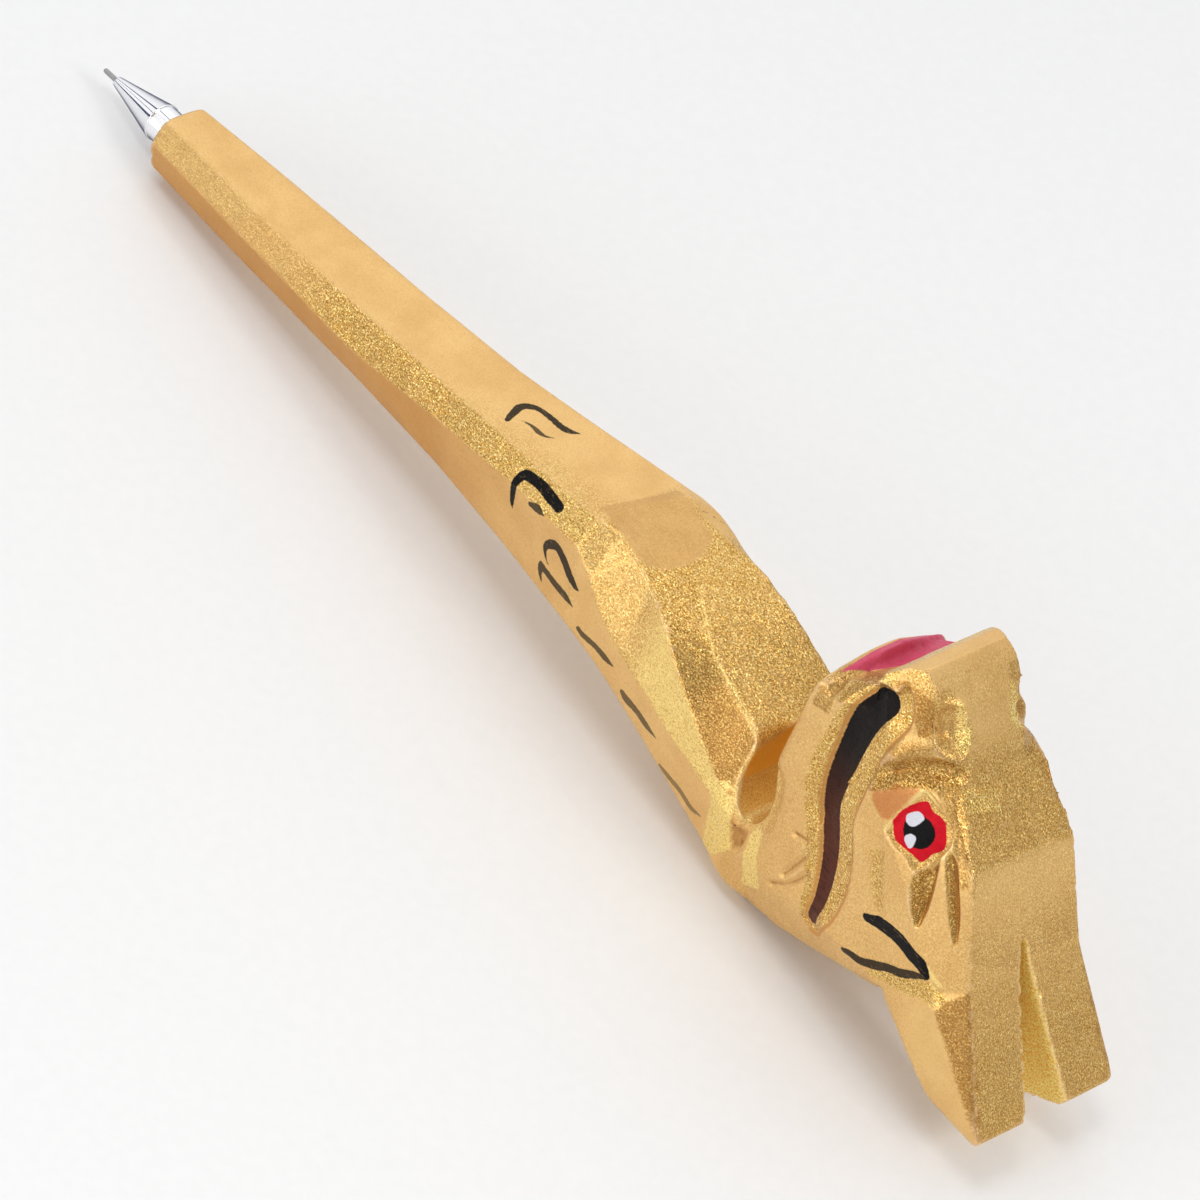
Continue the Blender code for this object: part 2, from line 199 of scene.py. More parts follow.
BAND = ((147.2, -9.8, 10.4), (149.9, -9.3, 12.8), (152.4, -7.9, 14.3), (154.8, -6.0, 14.9))
KNIFE = ((146.9, -9.3, 13.2), (147.6, -8.8, 15.5), (148.5, -7.6, 18.4))
TROUGH = ((151.0, -3.6, 22.0), (152.0, -3.5, 20.0), (152.8, -3.7, 18.4), (153.3, -4.0, 17.4))
TROUGH_BED = ((150.2, -5.0, 22.6), (150.8, -4.7, 20.4), (151.7, -4.7, 18.6), (152.9, -4.6, 17.3))
EDGE_STRIP = ((155.0, -6.3, 14.2), (157.4, -7.0, 11.7), (159.6, -7.8, 9.2), (161.2, -8.2, 6.6))
STRIP = ((150.6, 5.0), (151.8, 0.6), (153.2, -3.0))
NAPE_SCOOP = ((130.6, -9.0, -10.0), (130.9, -9.2, -12.0), (130.2, -9.0, -14.4))

# facets left by the knife: outline (u, w), tone from brown to bright, which paints in much of each facet's light and
# shade, how much flake shows, how amber it is
FACETS = (
    (((144.7, 22.1), (146.2, 22.9), (149.2, 22.4), (150.1, 22.4), (150.9, 18.4), (149.7, 18.0), (148.5, 19.7), (146.8, 20.7)), -0.85, 0.65, 0.15),
    (((145.0, 23.0), (146.3, 24.8), (148.6, 24.5), (150.2, 22.6), (149.2, 22.4), (146.2, 22.9)), -0.30, 0.70, 0.0),
    (((136.2, 12.5), (138.8, 13.0), (138.6, 17.0), (136.4, 17.0)), -0.58, 0.60, 0.0),
    (((126.2, -8.7), (128.5, -7.1), (129.7, -10.1), (130.1, -14.2), (127.6, -17.1), (126.0, -17.1), (125.8, -15.8), (126.4, -10.4)), 1.25, 0.65, 0.0),
    (((124.8, -8.1), (127.4, -6.2), (128.6, -6.6), (126.6, -8.4)), 1.00, 0.90, 0.0),
    (((128.6, -6.6), (129.0, -6.8), (130.3, -8.5), (129.5, -8.3)), 1.00, 0.90, 0.0),
    (((129.5, -8.9), (132.3, -8.9), (131.9, -12.0), (130.2, -14.1)), -0.60, 0.15, 0.35),
    (((132.5, -8.9), (134.0, -7.9), (135.7, -15.4), (132.9, -17.2)), 1.25, 0.65, 0.0),
    (((163.7, -8.0), (166.7, -11.1), (169.7, -14.5), (173.8, -19.1), (176.5, -20.0), (172.5, -13.0), (169.0, -6.0), (166.2, -5.0)), -0.80, 0.60, 0.10),
    (((153.6, -11.6), (154.9, -10.1), (157.7, -8.5), (159.8, -7.0), (162.1, -5.9), (164.5, -6.6), (164.4, -8.2),
      (163.3, -8.3), (161.4, -8.7), (159.6, -9.7), (157.3, -10.4)), 0.25, 1.00, 0.0),
    (((161.0, -4.0), (163.7, -5.7), (163.1, -6.0), (161.8, -5.2)), 0.90, 0.40, 0.0),
    (((149.9, 3.2), (151.8, 4.7), (152.8, 1.3), (153.7, -2.7), (153.0, -3.3), (151.0, -0.2)), -0.25, 0.70, 0.0),
)

# facets of the face, outline (y, w), tone, which in part lays painted light and shade, and flake; and pale scratches
# down it
FRONT_FACETS = (
    (((-6.6, 7.8), (-1.7, 7.8), (3.9, 7.9), (8.0, 7.3), (9.5, -4.5), (1.0, -4.3), (0.0, -5.0), (-4.9, -3.5), (-8.6, -1.1), (-7.1, 6.3)), 0.06, 0.40),
    (((-4.9, 14.3), (-0.4, 13.2), (-1.3, 11.6), (-5.7, 12.7)), 0.35, 1.00),
    (((1.6, 23.6), (4.6, 23.4), (4.8, 20.6), (2.0, 21.0)), 0.35, 1.00),
)
FACE_FOLD = ((-8.6, -4.9, 0.0, 1.0, 9.5), (-1.1, -3.5, -5.0, -4.3, -4.5))     # where the horns set off from the face: y, w
SCRATCHES = (((149.9, -5.3, 22.4), (150.4, -5.2, 20.1), (151.2, -5.5, 18.3)), ((151.7, 0.7, 21.4), (152.6, 0.4, 19.6), (153.7, -0.1, 17.7)), ((157.9, 0.0, 11.8), (159.8, -1.3, 9.7), (161.8, -2.2, 7.6)),
             ((157.8, 4.8, 12.0), (161.2, 2.8, 8.3)), ((154.1, 3.0, 17.1), (154.9, 2.4, 15.7)),
             ((162.5, 3.2, 6.0), (164.5, 3.1, 0.2)), ((164.9, 3.3, -1.2), (165.8, 3.3, -3.9)))

# whittled corners of shaft and neck along the pen: angles on the shaft
CORNERS_U = (14.85, 35.0, 55.0, 72.0, 86.0, 98.5)
CORNERS = ((34, 35, 35, 35, 36, 36), (56, 57, 57, 57, 57, 58), (125, 133, 133, 130, 129, 128), (166, 171, 176, 160, 151, 150))
# heights of the neck's corners on the left and right, and where its front ridge runs
NECK_U = (98.5, 101.3, 104.3, 108.3, 113.0, 118.0, 125.5, 129.3)
LEFT_BAND = ((8.0, 7.6, 6.9, 5.6, 4.1, -0.3, -6.3, -8.2), (5.1, 2.8, -0.4, -2.6, -4.2, -6.3, -8.7, -9.6))
RIGHT_BAND = ((7.5, 8.1, 8.3, 7.5, 4.1, 1.0, -2.5, -5.0), (6.0, 4.3, 2.5, -1.7, -4.3, -6.2, -8.6, -9.8))
RIDGE_Y = (-1.8, -1.7, -1.5, 0.0, -3.0, -5.0, -5.5, -6.0)
SHOULDER = ((96.6, -5.0), (99.4, 4.2), (107.0, 3.0), (108.3, 0.6), (108.3, -1.2), (107.4, -3.6), (105.6, -5.2), (102.0, -5.3))

# brush strokes: u, y, w, width; with how strongly the paint covers
STROKES = (
    (0.95, False, ((78.7, -3.0, 6.1, 0.55), (78.2, -1.8, 6.2, 0.85), (77.7, -0.2, 6.2, 1.00), (78.4, 0.8, 6.3, 0.85),
                   (79.4, 1.2, 6.5, 0.68), (81.0, 1.3, 6.6, 0.72), (82.8, 1.2, 6.8, 0.78), (84.1, 1.4, 6.9, 0.80), (85.2, 2.1, 7.0, 0.12))),
    (0.85, False, ((79.8, -1.7, 6.3, 0.10), (81.1, -1.4, 6.5, 0.42), (82.4, -1.5, 6.6, 0.60), (83.3, -1.4, 6.7, 0.36),
                   (84.2, -0.8, 6.8, 0.10))),
    (1.0, True, ((86.5, -7.5, 1.0, 0.15), (86.2, -7.5, 1.8, 0.70), (86.1, -7.3, 4.4, 1.00), (86.2, -6.8, 5.0, 1.10),
                 (86.6, -6.5, 5.5, 1.10), (87.9, -6.5, 5.8, 1.10), (89.5, -6.6, 6.0, 1.20), (91.3, -6.9, 6.0, 1.25),
                 (93.1, -7.2, 6.0, 1.10))),
    (0.9, True, ((89.3, -7.9, 3.9, 0.50), (90.7, -8.0, 4.3, 0.95), (92.0, -8.2, 4.4, 0.20))),
    (0.95, True, ((94.6, -8.3, -0.9, 0.10), (93.9, -8.3, -0.5, 0.25), (93.3, -8.2, 0.7, 0.70), (94.0, -8.3, 1.8, 1.00),
                  (95.2, -8.4, 2.4, 1.10), (96.9, -8.6, 1.7, 1.20), (98.1, -8.7, 0.8, 1.20), (99.4, -8.8, 0.1, 0.80),
                  (100.2, -8.8, 0.0, 0.10))),
    (0.9, True, ((94.0, -8.2, -3.9, 0.10), (93.4, -8.1, -3.1, 0.60), (93.3, -8.2, -2.0, 0.95), (93.7, -8.2, -1.9, 0.85),
                 (96.2, -8.5, -2.2, 0.90), (98.3, -8.7, -2.3, 0.90), (99.8, -8.8, -2.7, 0.10))),
    (0.85, True, ((101.3, -8.7, -4.8, 0.70), (102.2, -8.7, -5.0, 0.80), (104.3, -8.7, -4.9, 0.80), (106.2, -8.8, -5.1, 0.90),
                  (107.7, -8.9, -5.2, 0.15))),
    (0.8, True, ((109.8, -8.7, -7.5, 0.85), (110.5, -8.7, -7.8, 1.10), (112.4, -8.8, -8.0, 0.90), (114.3, -8.8, -8.6, 0.95),
                 (116.1, -8.8, -9.0, 0.15))),
    (0.65, True, ((117.4, -8.5, -12.2, 0.50), (118.9, -8.5, -12.5, 0.75), (121.1, -8.6, -12.8, 0.75), (123.1, -8.5, -13.6, 0.75),
                  (124.9, -8.6, -13.5, 0.25))),
    (1.0, True, ((151.9, -10.2, -5.0, 0.90), (154.0, -10.2, -4.2, 1.50), (155.9, -10.2, -3.9, 1.60), (157.5, -10.2, -4.0, 1.65),
                 (159.0, -10.2, -4.4, 1.65), (160.4, -10.2, -4.6, 1.60), (161.5, -10.2, -5.4, 1.00))),
    (0.95, True, ((150.1, -10.1, -11.5, 0.75), (151.2, -10.2, -11.1, 0.85), (152.7, -10.2, -10.8, 0.90), (154.7, -10.2, -9.7, 1.00),
                  (156.6, -10.2, -8.5, 0.95), (158.4, -10.2, -7.7, 0.95), (160.1, -10.2, -6.5, 0.80), (161.8, -10.1, -5.5, 0.40))),
)
CRACK = ((103.3, 4.0, 9.0), (104.1, 4.9, 8.7), (105.1, 5.3, 8.4), (106.2, 5.9, 8.0), (107.4, 6.0, 7.7))


# ------------------------------------------------------------------ wooden body
def mirrored(line):
    line = np.array(line, float)
    other = line.copy()
    other[:, 1] *= -1.0
    return line, other


def near_ledge(p):
    return np.minimum(*(to_line(p, way)[0] for way in mirrored(LEDGE)))


def is_knife_edge(a, b, angle):
    """Tells the carving's own edges from those that only come from cutting curves up into flats."""
    run = b - a
    length = np.linalg.norm(run)
    mid = (a + b) / 2
    if angle < 12.5 or length < 1e-4:
        return False
    if mid[0] < 107.0 and math.hypot(mid[1], mid[2]) < 2.7:                      # bore
        return angle > 40
    if 108.5 < mid[0] < 130.0 and abs(run[0]) < 0.45 * length and angle < 35:    # across the neck
        return False
    if math.hypot((mid[0] - 131.3) / 3.0, (mid[2] + 3.2) / 5.7) < 1.12 and abs(run[1]) > 0.9 * length:
        return False                                                             # along the throat hollow
    if math.dist(mid, (153.1, -5.8, 20.1)) < 3.4 or math.dist(mid, (152.6, 6.9, 18.8)) < 3.4:
        return angle > 30                                                        # scoops
    return near_ledge(mid[None])[0] > 1.6


def fine_skin(source, size):
    """A close, even copy of a construction solid's skin, laid on its flats and its knife edges."""
    bm = bmesh.new()
    bm.from_mesh(source.data)
    bmesh.ops.remove_doubles(bm, verts=bm.verts, dist=2e-6)
    tree = BVHTree.FromBMesh(bm)
    spots = []
    for e in bm.edges:
        if len(e.link_faces) == 2:
            a, b = (to_pen(v.co) for v in e.verts)
            if is_knife_edge(a, b, math.degrees(e.calc_face_angle())):
                steps = max(2, int(np.linalg.norm(b - a) / 0.06))
                spots += [e.verts[0].co.lerp(e.verts[1].co, k / steps) for k in range(steps + 1)]
    knife = KDTree(len(spots))
    for k, spot in enumerate(spots):
        knife.insert(spot, k)
    knife.balance()
    rough = bpy.data.meshes.new("rough")
    bm.to_mesh(rough)
    bm.free()
    ob = bpy.data.objects.new("carved_wood", rough)
    scene.collection.objects.link(ob)
    cut = ob.modifiers.new("fine", 'REMESH')
    cut.mode = 'VOXEL'
    cut.voxel_size = size
    cut.use_smooth_shade = True
    mesh = bpy.data.meshes.new_from_object(ob.evaluated_get(bpy.context.evaluated_depsgraph_get()))
    ob.modifiers.clear()
    ob.data = mesh
    bpy.data.meshes.remove(rough)
    mesh.name = "carved_wood"

    spot, held = [], np.zeros(len(mesh.vertices), bool)
    for v in mesh.vertices:
        co, _, gap = knife.find(v.co)
        held[v.index] = gap < 0.55 * size
        spot.append(co if held[v.index] else tree.find_nearest(v.co)[0])
    p = to_pen(spot)
    edges = edge_list(ob)
    p = settle(p, edges, held, 5, 0.5)
    bend = ease(106.5, 109.5, p[:, 0]) * ease(131.0, 129.0, p[:, 0]) * (np.hypot(p[:, 1], p[:, 2]) > 2.0)
    p = settle(p, edges, held, 90, 0.5 * bend)
    scoop = np.minimum(np.linalg.norm(p - (153.1, -5.8, 20.1), axis=1), np.linalg.norm(p - (152.6, 6.9, 18.8), axis=1))
    p = settle(p, edges, held, 40, 0.5 * ease(4.2, 3.4, scoop))
    p = settle(p, edges, held, 60, 0.5 * ease(3.2, 1.8, near_ledge(p)))
    return ob, p


def edge_list(ob):
    edges = np.empty(len(ob.data.edges) * 2, np.int32)
    ob.data.edges.foreach_get("vertices", edges)
    return edges.reshape(-1, 2)


def settle(p, edges, held, rounds, share):
    """Evens the skin out; a point held on a knife edge slides only along that edge."""
    i, j = edges[:, 0], edges[:, 1]
    to_i, to_j = ~held[i] | held[j], ~held[j] | held[i]
    source = np.concatenate((j[to_i], i[to_j]))
    target = np.concatenate((i[to_i], j[to_j]))
    count = np.bincount(target, minlength=len(p))
    share = np.where(count > 0, share, 0.0)[:, None]
    for _ in range(rounds):
        total = np.stack([np.bincount(target, p[source, k], len(p)) for k in range(3)], 1)
        p = p + share * (total / np.maximum(count, 1)[:, None] - p)
    return p


def relax(p, edges, rounds, share):
    return settle(p, edges, np.zeros(len(p), bool), rounds, share)


def place(ob, p):
    ob.data.vertices.foreach_set("co", to_world(p).astype(np.float32).ravel())
    ob.data.update()


def where(ob):
    world = np.empty(len(ob.data.vertices) * 3, np.float32)
    ob.data.vertices.foreach_get("co", world)
    return to_pen(world.reshape(-1, 3))


def normals(ob, p):
    place(ob, p)
    n = np.empty(len(p) * 3, np.float32)
    ob.data.vertex_normals.foreach_get("vector", n)
    return n.reshape(-1, 3).astype(float) @ AXES.T


def stroke_gaps(p, skin=None):
    """Distance to the nearest brush stroke's edge, and how strongly that stroke covers."""
    ink = np.full(len(p), 3.0)
    cover = np.zeros(len(p))
    for strength, both, line in STROKES:
        line = curve(line, 6)
        for way in (mirrored(line) if both else (line,)):
            way = way.copy()
            if skin:
                for k in range(len(way)):
                    way[k, :3] = skin.find_nearest(Vector(way[k, :3]))[0]
            near = np.where(((p > way[:, :3].min(0) - 3.0) & (p < way[:, :3].max(0) + 3.0)).all(1))[0]
            dist, index, _ = to_line(p[near], way[:, :3])
            gap = dist - 0.56 * pick(np.maximum(way[:, 3], 0.0), index)
            closer = gap < ink[near]
            ink[near] = np.where(closer, gap, ink[near])
            cover[near] = np.where(closer, strength, cover[near])
    return ink, cover


def halve(ob, p):
    """Halves the skin's faces where the fine cuts and brush marks go."""
    flat = p[:, (0, 2)]
    u, y, w = p.T
    groove = curve(MOUTH, 6)
    dist, index, _ = to_line(flat, groove[:, :2])
    zone = (dist < 2.6 + pick(groove[:, 2], index)) & (np.abs(y) > 5.0)
    zone |= (u > 146.5) & (u < 160.5) & (w > 3.0) & (w < 16.5) & (np.abs(y) > 4.0)
    zone |= (u > 155.0) & (u < 164.0) & (w > -1.6) & (w < 9.5) & (np.abs(y) > 6.0)
    zone |= (u > 144.0) & (u < 156.0) & (w > 14.0) & (np.abs(y) > 1.8)
    for cut in CUTS:
        zone |= (to_line(flat, curve(cut, 4))[0] < 1.0) & (np.abs(y) > 8.0)
    zone |= stroke_gaps(p)[0] < 0.45
    place(ob, p)
    bm = bmesh.new()
    bm.from_mesh(ob.data)
    picked = {e for f in bm.faces if all(zone[v.index] for v in f.verts) for e in f.edges}
    bmesh.ops.subdivide_edges(bm, edges=sorted(picked, key=lambda e: e.index), cuts=1, use_grid_fill=True)
    bm.to_mesh(ob.data)
    bm.free()
    return where(ob)


def wander(p, size):
    """Smooth noise over the points, size in millimetres along each pen axis."""
    q = p / np.array(size)
    return np.array([noise.noise(Vector(v)) for v in q])


def gouge(p, n, line, half, depth, sharp=False):
    """Cut along a line lying on the skin, straight in."""
    for way in mirrored(line):
        way = curve(way, 5)
        near = np.where(((p > way.min(0) - half - 0.5) & (p < way.max(0) + half + 0.5)).all(1))[0]
        dist, index, _ = to_line(p[near], way)
        ends = ease(0.0, 0.25 * len(way), index) * ease(0.0, 0.25 * len(way), len(way) - 1 - index)
        share = np.clip(1.0 - dist / half, 0.0, 1.0)
        if not sharp:
            share = share * share * (3.0 - 2.0 * share)
        p[near] -= (depth * share * (0.25 + 0.75 * ends))[:, None] * n[near]


def flanks(flat):
    """Mouth groove: distance past its floor's edge, place along it, half width, both flanks' widths, depth, cheek side?"""
    groove = curve(MOUTH, 6)
    dist, index, side = to_line(flat, groove[:, :2])
    half, jaw, cheek, deep = (pick(groove[:, k], index) for k in (2, 3, 4, 5))
    return dist - half, index / (len(groove) - 1), half, jaw, cheek, deep, side > 0


def carve(ob, p):
    edges = edge_list(ob)
    n = normals(ob, p)
    bore = (np.hypot(p[:, 1], p[:, 2]) < 2.6) & (p[:, 0] < 106.5)
    skin = np.where(bore, 0.0, 1.0)
    facing = n.copy()

    # whittled flats are never quite flat
    uneven = 0.06 * wander(p, (13.0, 5.0, 5.0)) + 0.02 * wander(p, (4.0, 1.6, 1.6))
    notch = ease(163.0, 164.5, p[:, 0]) * (np.abs(p[:, 1]) < 3.4) * ease(0.5, 0.7, np.abs(n[:, 1]))
    uneven += 0.06 * notch * wander(p, (0.8, 0.8, 0.8))
    p = p + (uneven * skin)[:, None] * n

    # cuts in both cheeks, straight in from the side
    flat = p[:, (0, 2)]
    face = ease(0.15, 0.5, np.abs(n[:, 1])) * (np.abs(p[:, 1]) > 4.0) * (p[:, 0] > 128.0)
    face = relax(np.repeat(face[:, None], 3, 1), edges, 6, 0.5)[:, 0]
    past, _, half, jaw, cheek, deep, on_cheek = flanks(flat)
    low = 1.0 - 0.55 * np.clip(past / 0.5, 0, 1) - 0.45 * np.clip((past - 0.5) / (jaw - 0.45), 0, 1)
    high = 1.0 - 0.5 * np.clip(past / (cheek - 0.5), 0, 1) - 0.5 * np.clip((past - cheek + 0.5) / 0.45, 0, 1)
    depth = deep * np.where(on_cheek, high, low) + 0.10 * np.clip(-past / half, 0, 1)

    socket = to_outline(flat, curve(SOCKET, 4, closed=True))
    depth = np.maximum(depth, 0.5 * ease(0.10, -0.35, socket))
    for rim in RIMS:
        depth -= 0.24 * np.exp(-(to_line(flat, curve(rim, 4))[0] / 0.24) ** 2)
    ball = np.hypot(flat[:, 0] - 154.3, (flat[:, 1] - 8.8) * 0.9)
    depth -= 0.34 * np.clip(1.0 - (ball / 2.9) ** 2, 0.0, 1.0)
    for leaf in LEAVES:
        depth = np.maximum(depth, np.minimum(1.15, -1.25 * to_outline(flat, curve(leaf, 3, closed=True))))
    for cut in CUTS:
        dist = to_line(flat, curve(cut, 4))[0]
        depth = np.maximum(depth, 0.42 * np.clip(1.0 - dist / 0.6, 0.0, 1.0))
    dist = to_line(flat, curve(STRIP, 4))[0]
    depth = np.maximum(depth, 0.16 * ease(1.1, 0.5, dist))
    throat = np.hypot((flat[:, 0] - 131.3) / 3.0, (flat[:, 1] + 3.2) / 5.7)
    depth = np.maximum(depth, 1.25 * np.clip((1.72 - throat) / 0.72, 0.0, 1.0) * ease(130.6, 132.0, flat[:, 0]) * ease(3.0, 0.0, flat[:, 1]))
    p[:, 1] -= np.sign(p[:, 1]) * depth * face

    gouge(p, n, CREST, 1.7, -0.40)
    gouge(p, n, VALLEY, 1.6, 0.75)
    gouge(p, n, KNIFE, 0.6, 0.35, sharp=True)
    gouge(p, n, NAPE_SCOOP, 1.6, 0.7)
    gouge(p, n, TROUGH_BED, 2.0, 0.35)
    gouge(p, n, EDGE_STRIP, 1.3, 0.45)
    p = relax(p, edges, 1, 0.3)
    n = normals(ob, p)

    # how far each spot stands out from its surroundings: worn edges, and creases that the paint darkens as painted
    # shade
    length = np.linalg.norm(p[edges[:, 0]] - p[edges[:, 1]], axis=1)
    count = np.bincount(edges.ravel(), minlength=len(p))
    mean = (np.bincount(edges[:, 0], length, len(p)) + np.bincount(edges[:, 1], length, len(p))) / count
    soft = np.where((mean < 0.27)[:, None], relax(p, edges, 16, 0.5), relax(p, edges, 5, 0.5))
    proud = ((p - soft) * n).sum(1)
    proud = relax(np.repeat(proud[:, None], 3, 1), edges, 2, 0.5)[:, 0]
    return p, n, facing, proud, skin


def inside_of(p, outline, soft=0.12):
    return ease(soft, -soft, to_outline(p, outline))


def paint(ob, p, n, facing, proud, skin):
    """Keeps each painted area on the mesh as a signed distance, negative inside, and the gold's tone as it varies,
    which also carries painted light and shade.
    """
    def keep(name, values):
        layer = ob.data.attributes.new(name, 'FLOAT', 'POINT')
        layer.data.foreach_set("value", np.asarray(values, np.float32))

    u, y, w = p.T
    flat = p[:, (0, 2)]
    cheek = (np.abs(y) > 4.5) & (np.abs(n[:, 1]) > 0.12) & (u > 128.0)

    skin_tree = BVHTree.FromPolygons([Vector(v) for v in p], [tuple(f.vertices) for f in ob.data.polygons])
    ink, cover = stroke_gaps(p, skin_tree)
    keep("ink", np.clip(ink, -3, 3))
    keep("ink_cover", cover)

    past, along, half, jaw_width, cheek_width, _, on_cheek = flanks(flat)
    keep("groove", np.where(cheek, np.clip(past, -3, 3), 3.0))
    keep("groove_along", along)
    keep("eye_red", np.where(cheek, np.clip(to_outline(flat, curve(EYE_RED, 4, closed=True)), -3, 3), 3.0))
    keep("pupil", np.where(cheek, np.clip(np.hypot((u - PUPIL[0]) * 0.95, (w - PUPIL[1]) * 0.95) - 1.75, -3, 3), 3.0))
    white = np.minimum(*(to_outline(flat, curve(o, 4, closed=True)) for o in EYE_WHITES))
    keep("eye_white", np.where(cheek, np.clip(white, -3, 3), 3.0))
    keep("smudge", np.where(cheek, np.clip(to_outline(flat, curve(SMUDGE, 4, closed=True)), -3, 3), 3.0))

    # tongue: the mouth's floor between the lips
    tongue = np.maximum.reduce((136.75 - u, u - 141.9, 15.0 - w, y - 8.2, 0.6 * (-6.8 + 1.65 * (u - 136.7) - y)))
    keep("tongue", np.clip(tongue, -3, 3))
    keep("crack", np.clip(to_line(p, curve(CRACK, 4))[0], 0, 3))
    # the throat hollow: bright amber fading where it faces the front; its brightness is painted light for the light the
    # hollow misses
    throat = np.hypot((u - 131.3) / 3.3, (w + 3.2) / 6.0)
    keep("throat", np.clip(throat + 0.6 * ease(0.1, 0.6, n[:, 2]) + ease(131.2, 132.4, u) + 0.6 * ease(-4.0, -7.5, w), 0, 4))
    # pale scratches down the face, and pale lines along the eye's rims that are a painted highlight
    scratch_and_rim_highlight = np.min([to_line(p, curve(line, 4))[0] for line in SCRATCHES], 0)
    rims = np.min([to_line(flat, curve(rim, 4))[0] for rim in RIMS], 0)
    scratch_and_rim_highlight = np.minimum(scratch_and_rim_highlight, np.where(cheek, rims, 3.0))
    keep("scratch_and_rim_highlight", np.clip(scratch_and_rim_highlight, 0, 3))
    keep("proud", np.clip(proud, -0.5, 0.5))
    keep("bare", 1.0 - skin)

    # gold: tone from brown to bright, which also lays painted light and shade, how much flake shows, how amber
    gold = np.zeros((len(p), 3))
    gold[:, 1] = 0.25

    def lay(share, tone, flake, amber=0.0):
        gold[:] += np.asarray(share, float)[:, None] * (np.array((tone, flake, amber)) - gold)

    # shaft: the front and the sides are smooth, the chamfers beside the front are not
    shaft = ease(100.0, 98.6, u)
    angle = np.degrees(np.arctan2(w, y)) % 360.0
    radius = np.hypot(y, w)
    a0, a1, a2, a3 = (np.interp(u, CORNERS_U, c) for c in CORNERS)

    def between(low, high):
        return ease(-0.12, 0.12, np.radians(angle - low) * radius) * ease(-0.12, 0.12, np.radians(high - angle) * radius)

    lay(shaft, 0.0, 0.10)
    lay(shaft * between(a1, a2), 0.06, 0.05)
    lay(shaft * between(a1, a2) * ease(60.0, 92.0, u) * ease(-1.0, -5.0, y), 0.06, 0.45)
    chamfer = between(a2, a3)
    lay(shaft * between(a3, 250.0), -0.14, 0.08, 0.12)
    # painted warm reflected light and painted shade: the side warmer and darker towards the neck
    lay(shaft * between(a3, 250.0) * ease(92.0, 64.0, u), -0.30, 0.08, 0.58)
    lay(shaft * between(a0, a1), 0.10, 0.05)
    # painted shade on the chamfer beside the front, darker in parts and lighter again towards the neck as painted light
    lay(shaft * chamfer, -0.26, 0.35)
    lay(shaft * chamfer * ease(40.0, 52.0, u), -0.34, 0.85)
    lay(shaft * chamfer * ease(74.0, 90.0, u), 0.20, 0.85)

    for corner in (a1, a2):
        lay(shaft * 0.55 * np.exp(-(np.radians(angle - corner) * radius / 0.2) ** 2), 0.35, 0.05)

    # neck: smooth sides, a bright band along the corner that is a painted highlight, a browner wedge that darkens
    # towards the head as painted shade, a flaky front
    neck = ease(98.4, 99.4, u) * ease(130.5, 128.5, u)
    top = np.where(y < 0, np.interp(u, NECK_U, LEFT_BAND[0]), np.interp(u, NECK_U, RIGHT_BAND[0]))
    bottom = np.where(y < 0, np.interp(u, NECK_U, LEFT_BAND[1]), np.interp(u, NECK_U, RIGHT_BAND[1]))
    ridge = np.interp(u, NECK_U, RIDGE_Y)
    lay(neck, -0.18, 0.80)
    lay(neck * ease(0.1, -0.1, w - bottom), 0.0, 0.08)
    lay(neck * ease(-0.1, 0.1, w - bottom) * ease(0.1, -0.1, w - top) * (np.abs(y) > 3.0), 0.10, 0.60)
    lay(neck * ease(-0.1, 0.1, w - bottom) * ease(0.1, -0.1, w - top) * (np.abs(y) > 3.0) * ease(109.0, 113.0, u), 0.70, 0.55)
    lay(neck * ease(-0.1, 0.1, w - top) * ease(0.12, -0.12, y - ridge) * ease(106.5, 108.5, u), -0.34, 0.90)
    lay(neck * ease(-0.1, 0.1, w - top) * ease(0.12, -0.12, y - ridge) * ease(116.0, 120.0, u), -0.62, 0.80)
    lay(neck * ease(-0.1, 0.1, w - top) * ease(0.12, -0.12, y - ridge) * ease(119.5, 123.5, u), -0.92, 0.65)
    # painted highlight along the front ridge
    lay(neck * np.exp(-((y - ridge) / 0.28) ** 2) * (w > top) * ease(109.5, 112.0, u), 0.65, 0.7)
    lay(neck * ease(3.6, 4.4, y) * ease(108.5, 107.0, u), 0.12, 0.12)
    lay(inside_of(p[:, (0, 1)], SHOULDER) * (w > 5.0), -0.40, 0.12, 0.08)

    # head: broad sides fairly smooth, the face from brow to horns flaky and darker; that darkness is painted shade,
    # laid by which way the surface faces
    head = ease(129.5, 131.5, u)
    face = facing @ np.array((0.88, 0.0, 0.47))
    side = np.abs(facing[:, 1])
    front = head * ease(0.40, 0.70, face)
    lay(front, -0.34, 0.75)
    for outline, tone, flake in FRONT_FACETS:
        lay(front * inside_of(p[:, (1, 2)], outline, 0.25), tone, flake)
    above = ease(-0.15, 0.15, w - np.interp(y, *FACE_FOLD))
    lay(front * above * ease(4.5, -3.0, w), -0.38, 0.60)
    lay(front * (1.0 - above) * ease(-13.0, -5.5, w), -0.16, 0.55)
    lay(front * ease(15.0, 19.0, w), -0.04, 0.30)
    # painted light: the horns' outer sides a little lighter where they face straight out
    lay(head * ease(158.0, 162.0, u) * ease(-5.0, -8.0, w) * ease(0.85, 0.93, side), 0.25, 0.06)
